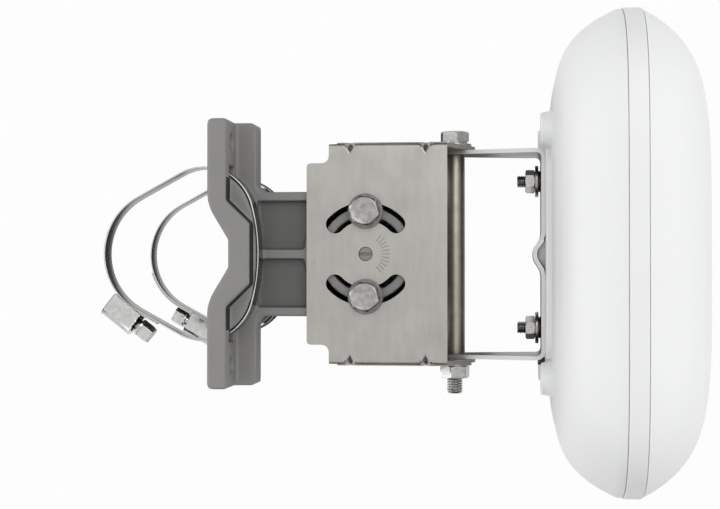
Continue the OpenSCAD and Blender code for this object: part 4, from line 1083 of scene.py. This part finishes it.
def rear_housing():
    """Rear shell with an even wall, open in the middle of its back."""
    opening = 70
    s = np.linspace((opening + 8) / SHELL_HALF, 1, 34)
    outer = np.stack([rear_x(s), s * SHELL_HALF], 1)
    inner = np.stack([rear_x(s) + SHELL_T * (1 - s ** 12), s * (SHELL_HALF - SHELL_T)], 1)
    rim = [(SEAM_X, SHELL_HALF), (SEAM_X, SHELL_HALF - SHELL_T)]
    rows = np.concatenate([[(BACK_X, opening)], outer, rim, inner[::-1], [(BACK_X + SHELL_T, opening)]])
    shell = skin(square_rings(rows), wrap_rows=True)
    seat = span("gland_gasket")[1][2]
    collar = revolve(round_corners(rectangle(8.05, 0, 12, 13), [0, 1.2, 0, 0], 5), 64, ring=True)
    return join(shell, lay(collar, (middle("gland_gasket")[0], 0, seat)))


def seam_band():
    """Band between the shells: a rounded strip with a fine groove beside each shell."""
    edge = 0.6
    x0, x1 = SEAM_X, FRONT_X
    groove, deep, inner = 0.35, 1.0, SHELL_HALF - 7
    out = round_corners([
        (x0, SHELL_HALF - deep), (x0 + groove, SHELL_HALF - deep), (x0 + groove, RADIO_HALF - 0.1),
        (x0 + groove + edge, RADIO_HALF), (x1 - groove - edge, RADIO_HALF), (x1 - groove, RADIO_HALF - 0.1),
        (x1 - groove, SHELL_HALF - deep), (x1, SHELL_HALF - deep)], 0.3, 4, closed=False)
    rows = np.concatenate([[(x0, inner)], out, [(x1, inner)]])
    return skin(square_rings(rows), wrap_rows=True)


piece("front_radome", front_radome(), "radio", WHITE_PLASTIC, "white_plastic", "front_radome")
piece("rear_shell", rear_housing(), "radio", WHITE_PLASTIC, "white_plastic", "rear_housing")
piece("seam_band", seam_band(), "radio", WHITE_PLASTIC, "white_plastic", "seam_band")

BOSS_X = span("rear_cover")[0][0]
BOSS_Y, BOSS_Z = 58.3, 45.0
BOSSES = [np.array([BOSS_X, sy * BOSS_Y, sz * BOSS_Z]) for sy in SIDES for sz in SIDES]
PAD_Y, PAD_Z = 50.3, 40
KEY_TOP = 16.5


def rear_cover():
    """Raised lid whose sloped edge meets the shell, with a rounded pad, the key ridge that fills the
    bracket's pressed rib, and four bosses with sunk screws."""
    skirt, proud = 84.0, 0.4
    lap, slope, drop = 2, 9, 0.7
    s = np.linspace(0, (skirt + lap) / SHELL_HALF, 40)
    sink = drop * np.clip((s * SHELL_HALF - skirt - lap + slope) / slope, 0, 1) ** 2
    face = np.stack([rear_x(s) - proud + sink, s * SHELL_HALF], 1)
    edge = [(BACK_X + SHELL_T, skirt - 1), (BACK_X + SHELL_T, 0)]
    lid = skin(square_rings(np.concatenate([face, edge])), caps=False)
    corner = round_corners(rectangle(-PAD_Z, -PAD_Y, PAD_Z, PAD_Y), 14, 9)
    pad = lay(prism(corner, 0, BACK_X - RADIO_X + 1, 0.6), (RADIO_X, 0, 0), X, -Z)
    foot = BACK_X - BOSS_X + 0.6
    boss = revolve(round_corners([
        (4.4, 3.4), (4.4, 0.0), (7.4, 0.0), (7.9, 3.2), (8.9, foot), (4.4, foot)],
        [0.1, 0.3, 1.2, 0.8, 0.2, 0.1], 5), 64, ring=True)
    key = round_corners([(RADIO_X + 1, -7.6), (RADIO_X + 1, 7.6), (RADIO_X - 0.2, 7.0), (RADIO_X - 3.8, 1.9),
                         (RADIO_X - 3.8, -1.9), (RADIO_X - 0.2, -7.0)], 1.0, 6)
    rib = prism(key, -TILT_HALF + 2, KEY_TOP, 0.4)
    return join(lid, pad, rib, at_each(boss, BOSSES, X, Y))


piece("rear_cover", rear_cover(), "radio", WHITE_METAL, "white_metal", "rear_cover")


def cover_screw():
    """Round-headed screw with a round recess, on its shank."""
    return revolve([(0, 2.5), (1.6, 2.5), (1.6, 0.75), (2.0, 0.6), (3.1, 0.75), (3.8, 1.3), (4.0, 2.0),
                    (4.0, 3.6), (2.0, 3.6), (2.0, 13.5), (0, 13.5)], 72)


piece("cover_screws", at_each(cover_screw(), BOSSES, X, Y), "radio", BOLT_STEEL, "stainless", "cover_screws")


# Cable entry and ports

GLAND = np.array([*middle("gland_gasket")[:2], span("gland_gasket")[0][2]])


def gland_body():
    """Threaded gland body with a hexagon flange."""
    stem = thread(radius=8.0, pitch=1.5, depth=0.7, low=0, high=17.5, count=64)
    profile = [(5.75, 0), (10.0, 0), (11.2, -0.7), (11.2, -5.3), (10.0, -6), (7.5, -6), (7.5, -15),
               (5.75, -15)]
    return lay(join(stem, revolve(profile, 120, 19.05, ring=True)), GLAND)


def gland_nut():
    """Domed gland nut: a hexagon that runs out into a smooth cone round the cable."""
    low = span("gland_nut")[0][2] - GLAND[2]
    profile = round_corners([
        (7.6, low + 14), (11.3, low + 14), (11.8, low + 12.5), (11.8, low + 6.5), (9.2, low + 1.2),
        (7.0, low), (4.75, low), (4.75, low + 5), (7.6, low + 5)],
        [0.2, 0.4, 0.6, 1.5, 2.0, 1.0, 0.6, 0.3, 0.3], 5)
    return lay(revolve(profile, 120, 20.0, ring=True), GLAND)


piece("cable_gland", gland_body(), "radio", BLACK_PLASTIC, "black_plastic", "cable_gland", sharp=25)
piece("gland_nut", gland_nut(), "radio", BLACK_PLASTIC, "black_plastic", "gland_nut", sharp=25)


def plug(radius, proud, stem, depth, ridges=0):
    """A plug with a rounded cap, which can have a scalloped edge, on a stem that stands in its port."""
    cap = round_corners([(0, -proud), (radius, -proud), (radius, 0), (stem, 0), (stem, depth), (0, depth)],
                        [0, proud * 0.45, 0.15, 0.1, 0.3, 0], 6, closed=False)
    points, faces = revolve(cap, 96)
    if ridges:
        a = np.arctan2(points[:, 1], points[:, 0])
        points[:, :2] *= (1 - 0.03 * (1 + np.cos(a * ridges)) / 2)[:, None]
    return points, faces


def at_port(node):
    """The port's middle on the cover's face."""
    return np.array([BACK_X - 0.5, *middle(node)[1:]])


def slotted(radius, height, gap, depth, stem, stem_l):
    """A round head cut by one straight slot, on its stem, along Z with the head below zero."""
    lean = np.degrees(gap / radius)
    outline = round_corners(arc(radius, lean, 180 - lean, 30), 0.2, 3)
    half = prism(outline, -height, -height + depth + 0.3, 0.25)
    return join(both_halves(half), rod(radius, -height + depth, 0, 0.1), rod(stem, -0.3, stem_l, 0.3))


vent = plug(radius=4.5, proud=1.4, stem=3.0, depth=4.5, ridges=12)
piece("vent_plug", lay(vent, at_port("vent_plug"), X, Y),
      "radio", DARK_PLASTIC, "dark_plastic", "vent_plug")
console = plug(radius=7.0, proud=1.8, stem=5.4, depth=4.5)
piece("console_plug", lay(console, at_port("console_plug"), X, Y),
      "radio", GREY_PLASTIC, "grey_plastic", "console_plug")
piece("ground_washer", lay(washer(5.5, 2.55, 1.0), at_port("ground_washer"), -X, Y),
      "radio", BOLT_STEEL, "stainless", "ground_washer")
ground = slotted(radius=4.5, height=3.0, gap=0.6, depth=1.2, stem=2.5, stem_l=5.5)
piece("ground_screw", lay(ground, at_port("ground_washer") - X, X, Y),
      "radio", BRASS, "ground_brass", "ground_screw")

KEPT = {
    RUBBER: ["cover_seal", "housing_seal", "gland_gasket", "gland_seal"],
    ALUMINIUM: ["chassis_plate", "shield_cans", "ethernet_jack"],
    BOLT_STEEL: ["board_screws", "antenna_posts"],
    THERMAL: ["thermal_pads"],
    BOARD: ["main_board", "antenna_panel"],
    COPPER: ["antenna_patches"],
    BLACK_PLASTIC: ["mmwave_module"],
}
for finish, names in KEPT.items():
    for name in names:
        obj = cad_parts[name]
        for holder in obj.material_slots:
            holder.material = finish.material


# Studio

AMBIENT = 0.95
AMBIENT_ENDS = 0.4
FLOOR_TONE = 0.65
FLOOR_GLOW = 0.95
FLOOR_Z = -0.45
FLOOR_HALF = 6.0
WHITE = grey(1.0)


class Backdrop(Finish):
    """The world or the floor: white to the camera and in reflections, plain for the light on the object."""

    def __init__(self, block):
        block.use_nodes = True
        self.tree = block.node_tree
        self.tree.nodes.clear()

    def seen(self):
        """One for rays from the camera, and for those that come from gloss or glass."""
        path = self.node("ShaderNodeLightPath").socket.node.outputs
        kinds = ("Camera", "Glossy", "Transmission")
        camera, gloss, glass = [Value(self, path[f"Is {kind} Ray"]) for kind in kinds]
        return camera.math("MAXIMUM", gloss).math("MAXIMUM", glass)

    def blend(self, factor, first, last):
        """One shader to another by the factor."""
        return self.node("ShaderNodeMixShader", None, {0: factor, 1: first, 2: last})

    def show(self, kind, surface):
        """The surface goes to an output node of this kind."""
        self.fill(self.tree.nodes.new(kind).inputs[0], surface)


def studio_world():
    """A plain light from all round that falls off towards both ends of Y."""
    world = bpy.data.worlds.new("studio")
    b = Backdrop(world)
    ends = abs(b.split(b.node("ShaderNodeTexCoord", output="Generated"))[1])
    strength = b.between(ends, 0, 1, AMBIENT, AMBIENT_ENDS)
    plain = b.node("ShaderNodeBackground", None, {"Color": WHITE, "Strength": strength})
    white = b.node("ShaderNodeBackground", None, {"Color": WHITE})
    b.show("ShaderNodeOutputWorld", b.blend(b.seen(), plain, white))
    bpy.context.scene.world = world


def studio_floor():
    """A wide floor that keeps a little of the object's shadow, and is clear from below."""
    paint = bpy.data.materials.new("studio_floor")
    b = Backdrop(paint)
    plain = b.node("ShaderNodeBsdfDiffuse", None, {"Color": grey(FLOOR_TONE)})
    white = b.node("ShaderNodeEmission", None, {"Color": WHITE})
    upper = b.blend(b.seen() * FLOOR_GLOW, plain, white)
    under = b.node("ShaderNodeNewGeometry", output="Backfacing")
    b.show("ShaderNodeOutputMaterial", b.blend(under, upper, b.node("ShaderNodeBsdfTransparent")))
    mesh = bpy.data.meshes.new("studio_floor")
    corners = rectangle(-FLOOR_HALF, -FLOOR_HALF, FLOOR_HALF, FLOOR_HALF)
    mesh.from_pydata([(x, y, FLOOR_Z) for x, y in corners], [], [(0, 1, 2, 3)])
    mesh.materials.append(paint)
    floor = add_object("studio_floor", mesh)


studio_floor()
studio_world()


def soft_light(name, place, target, size, power):
    """A square soft box that faces the target."""
    lamp = bpy.data.lights.new(name, "AREA")
    lamp.shape = "SQUARE"
    lamp.size = size
    lamp.energy = power
    obj = add_object(name, lamp)
    obj.location = place
    obj.rotation_euler = (Vector(target) - Vector(place)).to_track_quat("-Z", "Y").to_euler()
    obj.visible_camera = False


def dark_card(name, low, high):
    """A dark card between two opposite corners, that is seen only in the metal's gloss."""
    low, high = Vector(low), Vector(high)
    across = Vector((high.x - low.x, 0, 0))
    mesh = bpy.data.meshes.new(name)
    mesh.from_pydata([low, low + across, high, high - across], [], [(0, 1, 2, 3)])
    obj = add_object(name, mesh)
    paper = Finish(name, Base_Color=grey(0.07), Roughness=0.9)
    mesh.materials.append(paper.material)
    for kind in ("camera", "diffuse", "transmission", "shadow"):
        setattr(obj, "visible_" + kind, False)


dark_card("dark_card_left", (-0.5, 0.6, -0.06), (0.8, 0.6, 0.6))
dark_card("dark_card_right", (-0.5, -0.6, -0.06), (0.8, -0.6, 0.6))
dark_card("dark_card_under", (0.0, -0.12, -0.2), (0.15, 0.12, -0.2))

OBJECT_MIDDLE = (0.12, 0.0, 0.0)
soft_light("soft_box_above", (0.55, 0.65, 1.2), OBJECT_MIDDLE, 0.9, 4.0)
soft_light("soft_box_rear", (-0.95, 0.0, 0.3), (0.2, 0.0, 0.0), 1.0, 4.6)
soft_light("soft_box_front", (1.35, 0.0, 0.4), (0.22, 0.0, 0.0), 1.0, 3.4)

CAMERA_AT = Vector((0.16685, -0.0075, 0.740))
CAMERA_AIM = Vector((0.08685, 0.0001, 0.0))
LENS = 74.0

camera = bpy.data.cameras.new("camera")
camera.sensor_fit = "HORIZONTAL"
camera.sensor_width = 36.0
camera.lens = LENS
camera.clip_start = 0.01
camera_obj = add_object("camera", camera)
aim = (CAMERA_AIM - CAMERA_AT).normalized()
right = aim.cross(Vector((0, 1, 0))).normalized()
up = right.cross(aim)
camera_obj.matrix_world = Matrix.Translation(CAMERA_AT) @ Matrix((right, up, -aim)).transposed().to_4x4()
bpy.context.scene.camera = camera_obj
bpy.context.scene.view_settings.view_transform = "Standard"
